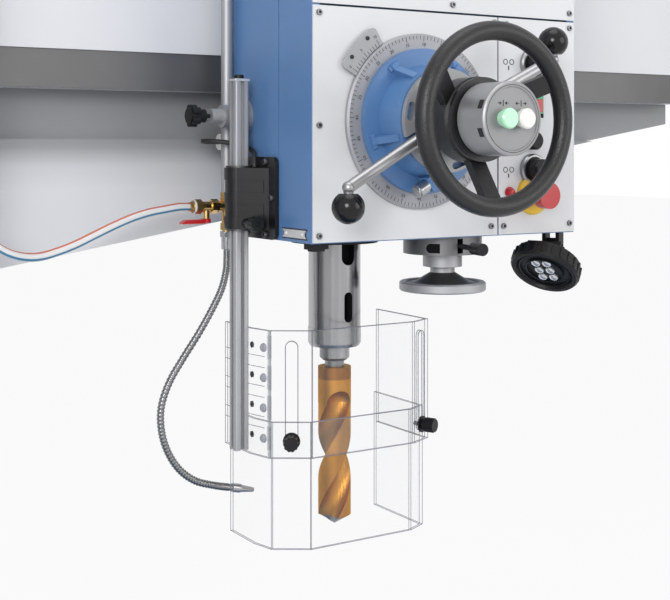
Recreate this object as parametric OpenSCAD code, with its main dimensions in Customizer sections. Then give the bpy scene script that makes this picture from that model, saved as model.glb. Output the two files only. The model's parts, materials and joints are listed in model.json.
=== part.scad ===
// Radial arm drilling machine with a 50 mm twist drill, a telescopic clear guard and a coolant gooseneck.
// Origin on the floor at the column axis, arm along +X, operator side -Y, +Z up, millimetres.

/* [Base] */
// Length of the base casting
base_l = 2050; // [1900:10:2300]
// Width of the base casting
base_w = 820; // [700:10:1000]
// Height of the machined table above the floor
base_h = 170; // [150:1:220]
// Distance from the column axis back to the rear edge
base_rear = 480; // [420:5:560]
// Radius of the base corners
base_r = 60; // [20:1:100]
// Width of the floor rim round the pockets underneath
base_rim = 90; // [80:1:110]
// Thickness of metal above the pockets
base_top = 78; // [70:1:90]
// Width of the ribs between the pockets
base_rib = 40; // [25:1:70]
// Height of the machined table above the casting
table_rise = 26; // [15:1:30]
// Width of the coolant gutter round the table
gutter_w = 40; // [20:1:45]
// Depth of the coolant gutter
gutter_d = 18; // [8:1:25]
// Distance between neighbouring T-slots
slot_pitch = 190; // [120:5:220]
// Width of the T-slot neck
slot_neck = 22; // [14:1:28]
// Width of the T-slot head
slot_head = 37; // [32:1:50]
// Height of the T-slot head
slot_head_h = 16; // [10:1:20]
// Depth of the whole T-slot
slot_depth = 38; // [30:1:48]
// Inset of the anchor holes from the edges
anchor_inset = 45; // [35:1:55]
// Radius of the anchor holes
anchor_r = 13; // [8:0.5:16]

/* [Column] */
// Radius of the swinging column sleeve
column_r = 130; // [115:1:140]
// Wall of the column sleeve
column_wall = 22; // [15:1:30]
// Height of the sleeve's top above the floor
column_top = 2140; // [2060:5:2400]
// Radius of the post flange
flange_r = 205; // [190:1:225]
// Thickness of the post flange
flange_h = 40; // [25:1:60]
// Radius of the bore in the post
post_bore_r = 70; // [50:1:85]
// Height of each bearing journal on the post
journal_h = 80; // [50:1:120]
// Height of the collar at the sleeve's foot
collar_h = 55; // [40:1:80]
// Width of the collar beyond the sleeve
collar_w = 35; // [20:1:50]
// Radius of the elevating screw
screw_r = 19; // [15:0.5:24]
// Radius of the screw's end journals
screw_end_r = 13; // [9:0.5:14]
// Distance of the screw behind the column axis
screw_back = 245; // [235:1:255]
// Height of the gear housing on the column
cap_h = 110; // [90:1:140]
// Radius of the elevating motor
lift_motor_r = 85; // [60:1:100]
// Length of the elevating motor
lift_motor_h = 170; // [120:5:220]
// Height of the motor fan covers
fan_h = 50; // [30:1:70]

/* [Arm] */
// Height of the head's underside above the floor at rest
head_z = 1150; // [1110:5:1250]
// Reach of the arm from the column axis
arm_reach = 1700; // [1680:10:1900]
// Height of the arm's top above the head's underside
arm_top = 545; // [535:1:590]
// Depth of the arm at its root below the head's underside
arm_drop = 56; // [30:1:90]
// Height of the arm's underside above the head's underside at the tip
arm_tip_rise = 180; // [140:1:210]
// Distance from the column axis to the start of the guides
arm_root = 240; // [225:1:260]
// Thickness of the arm beam behind the guides
arm_t = 180; // [150:1:240]
// Wall of the hollow arm
arm_wall = 22; // [15:1:32]
// Outer radius of the clamp barrel
barrel_r = 180; // [165:1:200]
// Height of the lower guideway above the head's underside
guide_low = 219; // [214:1:230]
// Height of the upper guideway above the head's underside
guide_high = 470; // [440:1:475]
// Height of each guideway strip
guide_h = 56; // [40:1:60]
// Thickness of each guideway strip
guide_t = 30; // [20:1:36]
// Distance of the guide plane behind the spindle axis
guide_back = 131; // [125:1:140]
// How far the painted web stands in front of the guides
web_proud = 4; // [0:0.5:4]
// Width of the electrical cabinet
cabinet_w = 400; // [300:10:500]
// Height of the electrical cabinet
cabinet_h = 420; // [300:10:440]
// Depth of the electrical cabinet
cabinet_d = 180; // [120:5:260]

/* [Head] */
// Distance of the spindle from the column axis at rest
spindle_x = 800; // [760:5:900]
// Distance of the spindle from the head's left side
spindle_in = 125; // [120:1:135]
// Distance of the spindle behind the front panels
spindle_back = 143; // [140:1:150]
// Width of the head
head_w = 480; // [465:1:540]
// Height of the head
head_h = 600; // [590:1:680]
// Wall of the head casting
head_wall = 14; // [10:1:15]
// Thickness of the saddle pads on the guides
pad_t = 5; // [5:0.5:8]
// Thickness of the front panels
panel_t = 3; // [2:0.5:5]
// Space between the front panels and the casting's front wall
panel_space = 17; // [10:1:20]
// Width of the control panel
control_w = 151.5; // [145:0.5:160]
// Height of the main front panel
panel_h = 328; // [320:1:340]
// Seam between neighbouring panels
panel_gap = 3; // [1:0.5:5]
// Depth of the front cover on the head's side
cover_d = 92; // [70:1:93]
// Radius of the spindle turret on the head
turret_r = 46; // [42:1:55]
// Height of the spindle turret
turret_h = 280; // [270:1:340]
// Radius of the spindle motor
motor_r = 90; // [70:1:100]
// Length of the spindle motor
motor_h = 230; // [180:5:260]

/* [Gears] */
// Module of the drive gears
drive_m = 4.8; // [4:0.1:4.9]
// Teeth of the spindle gear
drive_n = 42; // [40:2:42]
// Teeth of the motor pinion
motor_n = 28; // [26:2:30]
// Width of the drive gears
drive_w = 25; // [15:1:30]
// Module of the feed pinion
feed_m = 3.82; // [3.6:0.02:4]
// Teeth of the feed pinion
feed_n = 10; // [10:2:10]
// Module of the traverse pinion
traverse_m = 4; // [3.5:0.1:4]
// Teeth of the traverse pinion
traverse_n = 27; // [26:1:28]
// Width of the pinions
pinion_w = 20; // [15:1:20]

/* [Spindle] */
// Radius of the quill
quill_r = 39.5; // [38:0.5:41]
// Height of the quill's lower end above the head's underside, negative below it
quill_nose = -166; // [-185:1:-160]
// Height of the quill's upper end above the head's underside
quill_top = 370; // [355:1:380]
// Radius of the bore in the quill
quill_bore_r = 25; // [23:0.5:26]
// Height of the nose ring
nose_ring_h = 28; // [20:1:30]
// Radius of the spindle nose
nose_r = 22.7; // [20:0.1:22.9]
// Length of the spindle nose below the quill
nose_l = 22; // [12:1:30]
// Large radius of the taper socket
taper_r = 15.65; // [14:0.05:17]
// Depth of the taper socket
taper_l = 118; // [100:1:125]
// Radius at the inner end of the taper socket
taper_end_r = 12.6; // [11:0.05:13.5]
// Radius of the splined shaft
spline_r = 15; // [13:0.5:17]
// Width of the splines
spline_w = 8; // [6:0.5:10]
// Height of the splines above the shaft
spline_h = 3; // [2:0.5:4]
// Height of the spindle's top above the head's underside
spindle_top = 740; // [730:1:750]
// Width of the drift slots
drift_w = 14; // [10:0.5:18]
// Radius of the twist drill
drill_r = 25; // [16:0.5:26]
// Length of the drill below the spindle nose
drill_l = 248; // [200:1:260]
// Length of the drill's plain part below the spindle nose
drill_plain = 65; // [50:1:80]
// Lead of the drill's flutes
flute_lead = 258; // [180:2:320]
// Radius of the flange round the quill
flange_ring_r = 78; // [60:1:85]
// Thickness of the flange round the quill
flange_ring_h = 10; // [6:1:12]

/* [Feed controls] */
// Height of the feed axis above the head's underside
feed_z = 170; // [168:1:176]
// Radius of the depth dial
dial_r = 126; // [112:1:135]
// Thickness of the depth dial
dial_t = 7; // [5:0.5:9]
// Radius of the dial's seat on the hub
dial_seat_r = 95; // [85:1:98]
// Radius of the feed hub's base
hub_r = 104; // [100:1:110]
// Radius of the feed hub's raised boss
hub_boss_r = 80; // [77:1:90]
// Radius of the feed hub's front edge
hub_front_r = 75; // [74:1:77]
// Distance of the hub's front from the panel
hub_front = 61; // [54:1:63]
// Radius of the steel disc on the feed shaft
disc_r = 73; // [66:1:74]
// Radius of the feed shaft's front journal
feed_journal_r = 22; // [18:0.5:24]
// Radius of the feed shaft
feed_shaft_r = 15; // [13.5:0.5:15]
// Radius of the traverse shaft
traverse_shaft_r = 11; // [9:0.5:11.5]
// Radius of the fixed stem through the traverse shaft
stem_r = 7; // [5:0.5:7.5]
// Radius of the feed lever rods
lever_r = 8; // [5:0.5:9]
// Radius of the feed levers at their root
lever_root_r = 9.2; // [8:0.1:9.6]
// Reach of the feed levers from the axis
lever_reach = 198; // [180:1:205]
// Angle of the first feed lever
lever_angle = 207; // [190:1:225]
// Radius of the lever balls
ball_r = 22; // [16:0.5:24]
// Middle radius of the traverse handwheel's rim
wheel_r = 117; // [100:1:130]
// Radius of the rim's section
rim_r = 13; // [9:0.5:15]
// Distance of the rim's plane from the panel
wheel_w = 176; // [170:1:190]
// Radius of the control drum
drum_r = 49; // [42:0.5:53]
// Distance of the control drum's face from the panel
drum_front = 210; // [200:1:222]
// Radius of the clamp buttons
clamp_r = 13.5; // [8:0.5:14]
// Height of the clamp buttons
clamp_h = 14; // [10:0.5:20]
// Radius of the fine feed drum
fine_drum_r = 60; // [50:1:62]
// Height of the fine feed drum
fine_drum_h = 28; // [22:1:32]
// Radius of the fine feed handwheel
fine_wheel_r = 66; // [55:1:70]
// Height of the fine feed handwheel's rim
fine_rim_h = 14; // [8:1:16]

/* [Guard] */
// Width of the square guard post
post_w = 22; // [20:0.5:24]
// Length of the guard post
post_l = 538; // [500:1:560]
// Distance of the post left of the head's side
post_out = 27; // [26.5:0.5:30]
// Distance of the post behind the front panels
post_in = 163.5; // [158:0.5:166]
// Thickness of the clear sheets
sheet_t = 4; // [3:0.5:5]
// Width of the upper shield
shield_w = 279; // [250:1:290]
// Height of each shield
shield_h = 183; // [160:1:190]
// Distance of the upper shield's top below the head's underside
shield_top = 131; // [128:1:150]
// Distance of the upper shield's front behind the front panels
shield_front = 75; // [65:1:85]
// Depth of the upper shield
shield_d = 154; // [120:1:158]
// Gap between the two shields
shield_gap = 3; // [2:0.5:5]
// Overlap of the two shields
shield_lap = 50; // [40:1:70]
// Distance of the slide slots below the upper shield's top
slot_margin = 15; // [10:1:30]

/* [Coolant and services] */
// Radius of the riser pipe
riser_r = 9; // [6:0.5:10]
// Radius of the brass tee
tee_r = 8; // [7:0.5:9]
// Radius of the ball valve's body
valve_r = 7.5; // [7:0.5:9]
// Radius of the valve's nuts over their corners
valve_nut_r = 11; // [10:0.5:12]
// Radius of the coolant gooseneck over its ribs
goose_r = 6; // [5:0.25:7]
// Radius of the gooseneck's bore
goose_bore_r = 3.5; // [2.5:0.25:4]
// Number of ribs on the gooseneck
goose_ribs = 96; // [40:4:120]
// Radius of the coolant supply hose
hose_r = 6.5; // [6:0.5:9]
// Radius of the switch cable
cable_r = 3.5; // [2:0.25:4]
// Radius of the side lock's collar
lock_r = 11; // [9:0.5:12]
// Radius of the work lamp
lamp_r = 54; // [40:1:55]

/* [Panel controls] */
// Distance of the control column from the head's right side
control_out = 88; // [80:1:95]
// Radius of the selector knobs
selector_r = 16; // [12:0.5:19]
// Radius of the emergency stop
stop_r = 20; // [16:0.5:22]

/* [Fits] */
// Radial clearance of running fits
fit = 0.05; // [0.02:0.01:0.1]
// Gap between faces that slide or rest
seat = 0.3; // [0.2:0.05:0.5]

/* [Hidden] */
$fn = 64;

// Colours as the machine shows them
blue = "#3f6ea8";
grey = "#c9ccd2";
steel = "#b9bcc0";
black = "#222326";
brass = "#c9a24a";
gold = "#c8a552";
clear = [0.8, 0.87, 0.9, 0.35];

// Overlap of joined shapes and of cuts through faces
cut = 1;

// Base
body_h = base_h - table_rise;
base_front = base_l - base_rear;
pad_r = flange_r + 20;
table_x0 = pad_r + gutter_w + 20;
table_x1 = base_front - gutter_w - 30;
table_w = base_w - 2 * (gutter_w + 30);
pocket_n = 3;
pocket_l = (base_l - 2 * base_rim - (pocket_n - 1) * base_rib) / pocket_n;
foot_r = 120;
pump_inset = 160;
pump_at = [-330, base_w / 2 - pump_inset];
pump_r = 62;
pump_stub_r = 26;
pump_stub_l = 90;
pump_flange_h = 14;
pump_h = [80, 108];
pump_port = [35, 30, 11];

// Column
bore_r = column_r - column_wall;
post_r = bore_r - 4;
sleeve_z = base_h + flange_h + seat;
post_top = column_top - 60;
screw_z0 = sleeve_z + collar_h;
lug_r = 40;
cap_r = column_r + collar_w;
motor_flange_h = 16;
terminal_z = [40, 130];
terminal_w = 90;
terminal_d = 36;

// Arm planes, with heights above the floor and distances from the spindle plane
arm_y = guide_back + guide_t;
arm_back = arm_y + arm_t;
web_y = guide_back - web_proud;
recess_y = arm_y + 19;
lip_y = arm_y + 15;
lower_y = arm_y - 1;
recess_h = 74;
arm_z0 = head_z - arm_drop;
arm_z1 = head_z + arm_top;
arm_tip_z = head_z + arm_tip_rise;
barrel_over = 18;
block_x0 = -90;
guide_end = 20;
guide_z = [guide_low, guide_high];
nut_r = screw_r + 13;
nut_h = 70;

// Head frame
head_x = spindle_x - spindle_in;
front_y = -spindle_back;
head_rear = spindle_back + guide_back - pad_t;
panel_edge = 1.5;
panel_w = head_w - panel_edge - control_w - panel_gap;
control_in = head_w - control_out;
wall_y0 = panel_t + panel_space;
wall_y1 = wall_y0 + head_wall;
web_in = spindle_back + quill_r + 2.5;
bush_r = quill_r + 16.5;
bush_low = 120;
bush_over = 45;
bush_run = 115;
bush_high = [feed_z + bush_over, feed_z + bush_over + bush_run];
hook_t = 18;
gear_drop = 60;
gear_z = head_h - gear_drop;
gear_hub_r = 30;
motor_shaft_r = 16;
motor_shaft_l = 50;

// Gear teeth, as shares of the module and of the pitch
add_share = 0.7;
ded_share = 1.1;
tooth_share = 0.38;
flank = tan(20);
feed_pinion_r = feed_m * feed_n / 2;
traverse_pinion_r = traverse_m * traverse_n / 2;
drive_r = drive_m * drive_n / 2;
motor_pinion_r = drive_m * motor_n / 2;
motor_x = spindle_in + drive_r + motor_pinion_r;
quill_pitch = quill_r - 5.5;
feed_x = spindle_in + quill_pitch + feed_pinion_r;
rack_z = feed_z + traverse_pinion_r;
rack_top = rack_z + ded_share * traverse_m + 13;
rack_y0 = guide_back + 6;
pinion_y0 = head_rear + 13;

// Spindle
spindle_fit_r = quill_bore_r - fit;
nose_ring_r = quill_r + 0.8;
nose_z = quill_nose - nose_l;
drift_z0 = quill_nose + 38;
drift_l = 45;
key_slot_r = 11;
key_slot_z = [-43, 17];
drill_neck = 10;
drill_z = nose_z - drill_l;
flute_l = drill_l - drill_plain + cut;
flute_r = 0.85 * drill_r;
flute_out = 1.08 * drill_r;
flute_turn = -100;
shank_l = 58;
shank_end_r = taper_r - (taper_r - taper_end_r) * shank_l / taper_l;

// Feed controls, with distances measured forward from the panel
dial_w = 1;
hub_w0 = dial_w + dial_t + seat;
hub_base_t = 9.5;
rib_t = 10;
disc_w = hub_front + 1;
disc_t = 8;
lever_boss_r = 34;
lever_boss_w = disc_w + disc_t + 27;
lever_ring_w = [disc_w + disc_t + seat, disc_w + disc_t + 14];
wheel_hub_w = [100, 150];
wheel_hub_r = 58;
drum_w0 = wheel_hub_w[1] + 2;
spoke_angles = [28, 148, 268];
hub_rib_angles = [54, 126, 198, 342];
lever_angles = [lever_angle, lever_angle - 180];
lever_root_w = disc_w + lever_root_r + 0.5;
lever_rise = 17.5;
lever_tip_w = lever_root_w + lever_rise;
knob_at = [-6, -36, -88];
fine_at = [274, 70];
fine_shaft_r = 12;
clutch_turn = 11;

// Guard
post_at = [-post_out, post_in];
post_z0 = -shield_top - shield_h + 5;
swivel_r = post_w / 2 * sqrt(2) + 2;
housing_z = [14.5, 103];
housing_y = [post_in - 53, post_in + 24];
housing_r = swivel_r + 4.4;
band_z = [32.5, 67.5];
band_h = 18;
plate_z = [0, 119];
clamp_knob_r = 11;
clamp_knob_z = 23;
clamp_slack = 3;
clamp_knob_y = [post_in - 58, post_in - 44];
plate_t = 6;
plate_y = [93, 190];
shield_x0 = -post_out + post_w / 2;
wall_set = 9;
wall_turn = post_in - post_w / 2 - 2.5;
chamfer_l = [52.5, 34];
chamfer_r = [38, 18];
low_in = sheet_t + shield_gap;
low_top = shield_top + shield_h - shield_lap;
slot_w = 18;
slot_below = 9;
knob_in = [32.4, 21];
knob_z = -low_top - 25;
shield_slot_l = low_top + 25 + slot_below - shield_top - slot_margin;
star_r = 11;
star_washer_r = 12.5;

// Coolant and services in the head frame
riser_at = [-12, 232];
riser_z = [65, 540];
clip_drop = 110;
valve_z = 44;
valve_end = -75;
valve_nuts = [[-66, -55.5], [-39.5, -28]];
valve_pivot = -46.5;
valve_drop = 18;
lock_at = [199, 179];
lock_stem = [57, 67];
lock_grip = [77, 92];
gland_at = [254, 141];
lamp_at = [head_w - 55, 10, -62];
lamp_tilt = 40;
lamp_yaw = 25;
lamp_depth = 30;
lamp_pin = 54;
bulkhead_at = [arm_root + 20, 60];
selector_z = [260, 99];
rocker_z = 208;
stop_z = 60;
control_stem_r = 5;
stop_h = [12, 25, 42];

// Routes chosen by hand: gooseneck and cable in the head frame, hose in the machine's frame
goose_route = [[-12, 232, -20], [-12, 232, -34], [-13, 233, -55], [-20, 234, -82], [-35, 236, -112],
    [-57, 237, -147], [-82, 238, -182], [-104, 239, -216], [-116, 241, -252], [-115, 242, -288],
    [-104, 243, -321], [-84, 245, -350], [-58, 246, -370], [-28, 247, -381], [-9, 247, -386], [4, 247, -389]];
hose_route = [[600, 89, 1194], [582, 89, 1194], [560, 89, 1191], [535, 89, 1187], [508, 88, 1180],
    [480, 86, 1170], [450, 83, 1158], [420, 79, 1146], [390, 74, 1137], [362, 68, 1132], [335, 62, 1134],
    [310, 57, 1143], [288, 56, 1160], [271, 62, 1183], [262, 78, 1202], [260, 97, 1210], [260, 115, 1210]];
cable_route = [[-14, 254, 141], [-23, 254, 141], [-33, 253, 141], [-42, 249, 141.5], [-48, 241, 142],
    [-49, 231, 142], [-45, 221.5, 142], [-37.5, 213.5, 141.5], [-29, 207, 140.5], [-20.5, 200.5, 139],
    [-13, 192.5, 136.5], [-7.5, 183.5, 133.5], [-5, 173, 130.5], [-5.5, 162, 127.5], [-8, 152, 124],
    [-12, 144.5, 118.5], [-15, 139, 112.5], [-16, 136.5, 108], [-16, 136, 104]];

// Shared shapes

module at_head() translate([head_x, front_y, head_z]) children();
module at_spindle() at_head() translate([spindle_in, spindle_back, 0]) children();
module at_feed() at_head() translate([feed_x, 0, feed_z]) children();
module at_post() at_head() translate([post_at[0], post_at[1], 0]) children();

// A turned part round the feed axis: profile x is the radius, y the distance forward
module turned() rotate([90, 0, 0]) rotate_extrude() children();
module along_x(r, x0, x1, $fn = 64) translate([x0, 0, 0]) rotate([0, 90, 0]) cylinder(r = r, h = x1 - x0);
module along_y(r, y0, y1) translate([0, y0, 0]) rotate([-90, 0, 0]) cylinder(r = r, h = y1 - y0);
module along_z(r, z0, z1, $fn = 64) translate([0, 0, z0]) cylinder(r = r, h = z1 - z0);
module box(from, to) translate(from) cube(to - from);

module rod(p, q, r, end) {
    d = q - p;
    l = norm(d);
    translate(p) rotate([0, acos(d[2] / l), atan2(d[1], d[0])]) cylinder(r1 = r, r2 = end, h = l);
}

module rounded(w, d, r) {
    translate([r, 0]) square([w - 2 * r, d]);
    translate([0, r]) square([w, d - 2 * r]);
    for (x = [r, w - r], y = [r, d - r]) translate([x, y]) circle(r);
}

module stadium(l, r) {
    translate([-r, 0]) square([2 * r, l]);
    circle(r);
    translate([0, l]) circle(r);
}

function polar(r, a) = [r * cos(a), r * sin(a)];
function half_tooth(m) = tooth_share * PI * m / 2;
function tooth_points(n, m, i) =
    let (r = m * n / 2, add = add_share * m, ded = ded_share * m, h = half_tooth(m), a = 360 * i / n)
    let (tip = (h - add * flank) / (r + add) * 180 / PI, root = (h + ded * flank) / (r - ded) * 180 / PI)
    [polar(r - ded, a - root), polar(r + add, a - tip), polar(r + add, a + tip), polar(r - ded, a + root)];

module gear(n, m) polygon([for (i = [0 : n - 1]) each tooth_points(n, m, i)]);

// A bar along y from x = back to x = base, with trapezoid prongs that reach x = end
module comb(centres, length, back, base, end, base_half, end_half) {
    prongs = [for (c = centres) each
        [[base, c - base_half], [end, c - end_half], [end, c + end_half], [base, c + base_half]]];
    polygon(concat([[back, length[0]], [base, length[0]]], prongs, [[base, length[1]], [back, length[1]]]));
}

function along(p, i) = i == 0 ? p[1] - p[0]
    : i == len(p) - 1 ? p[i] - p[i - 1] : p[i + 1] - p[i - 1];
function unit(v) = v / norm(v);
function ring_points(p, t, r, sides, ref) =
    let (n = unit(cross(ref, t)), b = unit(cross(t, n)))
    [for (k = [0 : sides - 1]) p + r * cos(360 * k / sides) * n + r * sin(360 * k / sides) * b];
function skin(rings, sides, from, flip) = [for (i = [0 : rings - 2], k = [0 : sides - 1])
    let (a = from + i * sides + k, b = from + i * sides + (k + 1) % sides)
    each flip ? [[a, a + sides, b], [b, a + sides, b + sides]]
        : [[a, b, a + sides], [b, b + sides, a + sides]]];
function lid(sides, from, flip) = [for (k = [1 : sides - 2])
    flip ? [from, from + k, from + k + 1] : [from, from + k + 1, from + k]];

// A plain tube swept along a route
module tube(route, r, sides, ref) {
    n = len(route);
    points = [for (i = [0 : n - 1]) each ring_points(route[i], unit(along(route, i)), r, sides, ref)];
    lids = concat(lid(sides, 0, true), lid(sides, (n - 1) * sides, false));
    polyhedron(points, concat(skin(n, sides, 0, true), lids));
}

// A smooth curve through the route's points, at a place from 0 to 1
function spline(p, u) =
    let (n = len(p) - 1, i = min(floor(u * n), n - 1), t = u * n - i)
    let (a = p[max(i - 1, 0)], b = p[i], c = p[i + 1], d = p[min(i + 2, n)])
    0.5 * (2 * b + (c - a) * t + (2 * a - 5 * b + 4 * c - d) * t * t + (3 * b - a - 3 * c + d) * t * t * t);

// A ribbed tube with its bore: two rings for each rib, straight for a diameter at both ends
module ribbed_tube(route, r, bore, ribs, depth, sides, ref) {
    n = 2 * ribs;
    ends = 2 * r / 520;
    line = [for (i = [0 : n - 1]) spline(route, i / (n - 1))];
    plain = floor(ends * n);
    outer = [for (i = [0 : n - 1])
        let (rr = i <= plain || i >= n - 1 - plain ? r - depth : r - depth * (i % 2))
        each ring_points(line[i], unit(along(line, i)), rr, sides, ref)];
    step = 6;
    m = floor((n - 1) / step) + 1;
    core = [for (j = [0 : m - 1]) line[j == m - 1 ? n - 1 : j * step]];
    inner = [for (j = [0 : m - 1]) each ring_points(core[j], unit(along(core, j)), bore, sides, ref)];
    in0 = n * sides;
    out1 = (n - 1) * sides;
    in1 = in0 + (m - 1) * sides;
    rims = [for (k = [0 : sides - 1]) let (l = (k + 1) % sides) each
        [[k, l, in0 + k], [l, in0 + l, in0 + k],
        [out1 + k, in1 + k, out1 + l], [out1 + l, in1 + k, in1 + l]]];
    polyhedron(concat(outer, inner), concat(skin(n, sides, 0, true), skin(m, sides, in0, false), rims));
}

// Base and column

module base_casting() color(blue) difference() {
    union() {
        translate([-base_rear, -base_w / 2, 0]) linear_extrude(body_h) rounded(base_l, base_w, base_r);
        box([table_x0, -table_w / 2, body_h - cut], [table_x1, table_w / 2, base_h]);
        along_z(pad_r, body_h - cut, base_h);
    }
    translate([0, 0, body_h - gutter_d]) linear_extrude(gutter_d + cut) difference() {
        translate([table_x0 - gutter_w, -table_w / 2 - gutter_w])
            square([table_x1 - table_x0 + 2 * gutter_w, table_w + 2 * gutter_w]);
        translate([table_x0, -table_w / 2]) square([table_x1 - table_x0, table_w]);
        circle(pad_r);
    }
    difference() {
        for (i = [0 : pocket_n - 1]) translate([-base_rear + base_rim + i * (pocket_l + base_rib), 0, 0])
            box([0, -base_w / 2 + base_rim, -cut], [pocket_l, base_w / 2 - base_rim, body_h - base_top]);
        along_z(foot_r, -2 * cut, body_h);
    }
    for (y = [-slot_pitch, 0, slot_pitch]) translate([0, y, 0]) {
        box([table_x0 + 40, -slot_neck / 2, base_h - slot_depth],
            [base_front + cut, slot_neck / 2, base_h + cut]);
        box([table_x0 + 40, -slot_head / 2, base_h - slot_depth],
            [base_front + cut, slot_head / 2, base_h - slot_depth + slot_head_h]);
    }
    for (x = [-base_rear + anchor_inset, base_front - anchor_inset], y = [-1, 1])
        translate([x, y * (base_w / 2 - anchor_inset), 0]) along_z(anchor_r, -cut, base_h + cut);
    translate([pump_at[0], pump_at[1], 0]) along_z(pump_stub_r + seat, 0, base_h);
}

module column_post() color("#6d7176") difference() {
    union() {
        along_z(flange_r, base_h, base_h + flange_h);
        along_z(post_r, base_h, post_top);
        along_z(bore_r - fit, base_h + flange_h - cut, base_h + flange_h + journal_h);
        along_z(bore_r - fit, post_top - journal_h, post_top);
    }
    along_z(post_bore_r, base_h - cut, post_top + cut);
}

module coolant_pump() color("#5a6068") translate([pump_at[0], pump_at[1], body_h]) {
    along_z(pump_r + pump_flange_h, 0, pump_flange_h);
    along_z(pump_r, pump_flange_h - cut, pump_h[0]);
    along_z(pump_r - 5, pump_h[0] - cut, pump_h[1]);
    along_z(pump_stub_r, -pump_stub_l, cut);
    translate([0, 0, pump_port[0]]) along_x(pump_port[2], -pump_r - pump_port[1], 0);
}

module screw_lug(z0, z1) {
    box([-lug_r, 0, z0], [lug_r, screw_back, z1]);
    translate([0, screw_back, 0]) along_z(lug_r, z0, z1);
}

module column_sleeve() color(steel) difference() {
    union() {
        along_z(column_r, sleeve_z, column_top);
        along_z(column_r + collar_w, sleeve_z, sleeve_z + collar_h);
        screw_lug(sleeve_z + 2, sleeve_z + collar_h);
    }
    along_z(bore_r, sleeve_z - cut, column_top + cut);
    translate([0, screw_back, 0]) along_z(screw_end_r + fit, sleeve_z, sleeve_z + collar_h + cut);
}

module column_head() color(blue) difference() {
    union() {
        along_z(cap_r, column_top, column_top + cap_h);
        screw_lug(column_top, column_top + cap_h - 20);
        translate([0, screw_back, 0]) along_z(lug_r + 22, column_top, column_top + cap_h - 20);
    }
    translate([0, screw_back, 0]) along_z(screw_end_r + fit, column_top - cut, column_top + 60);
}

module motor(r, h, box_turn) {
    along_z(r + 12, 0, motor_flange_h);
    along_z(r, motor_flange_h - cut, motor_flange_h + h);
    along_z(r - 4, motor_flange_h + h - cut, motor_flange_h + h + fan_h);
    rotate(box_turn) box([r - 12, -terminal_w / 2, motor_flange_h + terminal_z[0]],
        [r + terminal_d, terminal_w / 2, motor_flange_h + terminal_z[1]]);
}

module lift_motor() color("#5a6068") translate([0, 0, column_top + cap_h])
    motor(lift_motor_r, lift_motor_h, 180);

module lift_screw() color(steel) translate([0, screw_back, 0]) {
    along_z(screw_r, screw_z0 + seat, column_top - seat);
    along_z(screw_end_r, sleeve_z + 12, screw_z0 + cut);
    along_z(screw_end_r, column_top - cut, column_top + 50);
}

// Arm

// The side outline of the arm, in x and height, drawn in by the given wall
module arm_outline(x0, wall) polygon([[x0, arm_z0 + wall], [arm_root, arm_z0 + wall],
    [arm_reach - wall, arm_tip_z + wall], [arm_reach - wall, arm_z1 - wall], [x0, arm_z1 - wall]]);
module arm_slab(y0, y1) translate([0, y1, 0]) rotate([90, 0, 0]) linear_extrude(y1 - y0) children();
module arm_cut(y1, z0, z1)
    box([arm_root, web_y - cut, head_z + z0], [arm_reach + cut, y1, head_z + z1]);

module arm_casting() color(grey) difference() {
    union() {
        along_z(barrel_r, arm_z0 - barrel_over, arm_z1 + barrel_over);
        arm_slab(web_y, arm_back) arm_outline(block_x0, 0);
        box([block_x0, 0, arm_z0], [arm_root, arm_back, arm_z1]);
    }
    along_z(column_r + fit, arm_z0 - barrel_over - cut, arm_z1 + barrel_over + cut);
    arm_slab(recess_y + arm_wall, arm_back - arm_wall) arm_outline(arm_root, arm_wall);
    for (z = guide_z) arm_cut(arm_y, z, z + guide_h);
    arm_cut(recess_y, guide_low - recess_h, guide_low);
    arm_cut(lower_y, -arm_drop - cut, guide_low - recess_h);
    arm_cut(lip_y + seat, guide_high + guide_h, arm_top + cut);
    box([arm_root, arm_y - cut, head_z + guide_high + guide_h - hook_t + 4],
        [arm_reach + cut, lip_y + seat, arm_z1 + cut]);
    translate([0, screw_back, 0]) {
        along_z(screw_r + 5, arm_z0 - cut, arm_z1 + cut);
        along_z(nut_r, arm_z0 - cut, arm_z0 + nut_h);
    }
}

module arm_guideways() color("#8d9196") difference() {
    for (z = guide_z)
        box([arm_root, guide_back, head_z + z], [arm_reach - guide_end, arm_y, head_z + z + guide_h]);
    box([arm_root - cut, rack_y0, head_z + guide_low - cut], [arm_reach, arm_y + cut, head_z + rack_top]);
}

module traverse_rack() {
    p = PI * traverse_m;
    h = half_tooth(traverse_m);
    add = add_share * traverse_m;
    ded = ded_share * traverse_m;
    span = [arm_root, arm_reach - guide_end];
    x0 = head_x + feed_x;
    first = ceil((span[0] + p - x0) / p - 0.5);
    last = floor((span[1] - p - x0) / p - 0.5);
    color("#7f8388") translate([0, arm_y, head_z]) rotate([90, 0, 0]) linear_extrude(arm_y - rack_y0)
        rotate(90) mirror([0, 1]) comb([for (i = [first : last]) x0 + (i + 0.5) * p], span,
            rack_top, rack_z + ded, rack_z - add, h + ded * flank, h - add * flank);
}

module control_cabinet() color(grey) {
    translate([arm_root + 30, arm_back, head_z + arm_top - cabinet_h - 40]) {
        box([0, 0, 0], [cabinet_w, cabinet_d - 4, cabinet_h]);
        box([8, cabinet_d - 5, 8], [cabinet_w - 8, cabinet_d, cabinet_h - 8]);
    }
}

module lift_nut() color(brass) translate([0, screw_back, 0]) difference() {
    union() {
        along_z(nut_r, arm_z0 - 14, arm_z0 + nut_h);
        along_z(nut_r + 16, arm_z0 - 14, arm_z0);
    }
    along_z(screw_r + 2 * fit, arm_z0 - 15, arm_z0 + nut_h + cut);
}

module hose_bulkhead() color(steel) translate([bulkhead_at[0], 0, head_z + bulkhead_at[1]]) {
    along_y(15, lower_y - 12, lower_y);
    along_y(12, lower_y - 32, lower_y - 11);
    along_y(hose_r - 1, hose_route[len(hose_route) - 1][1], lower_y - 31);
}

// Head

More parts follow.
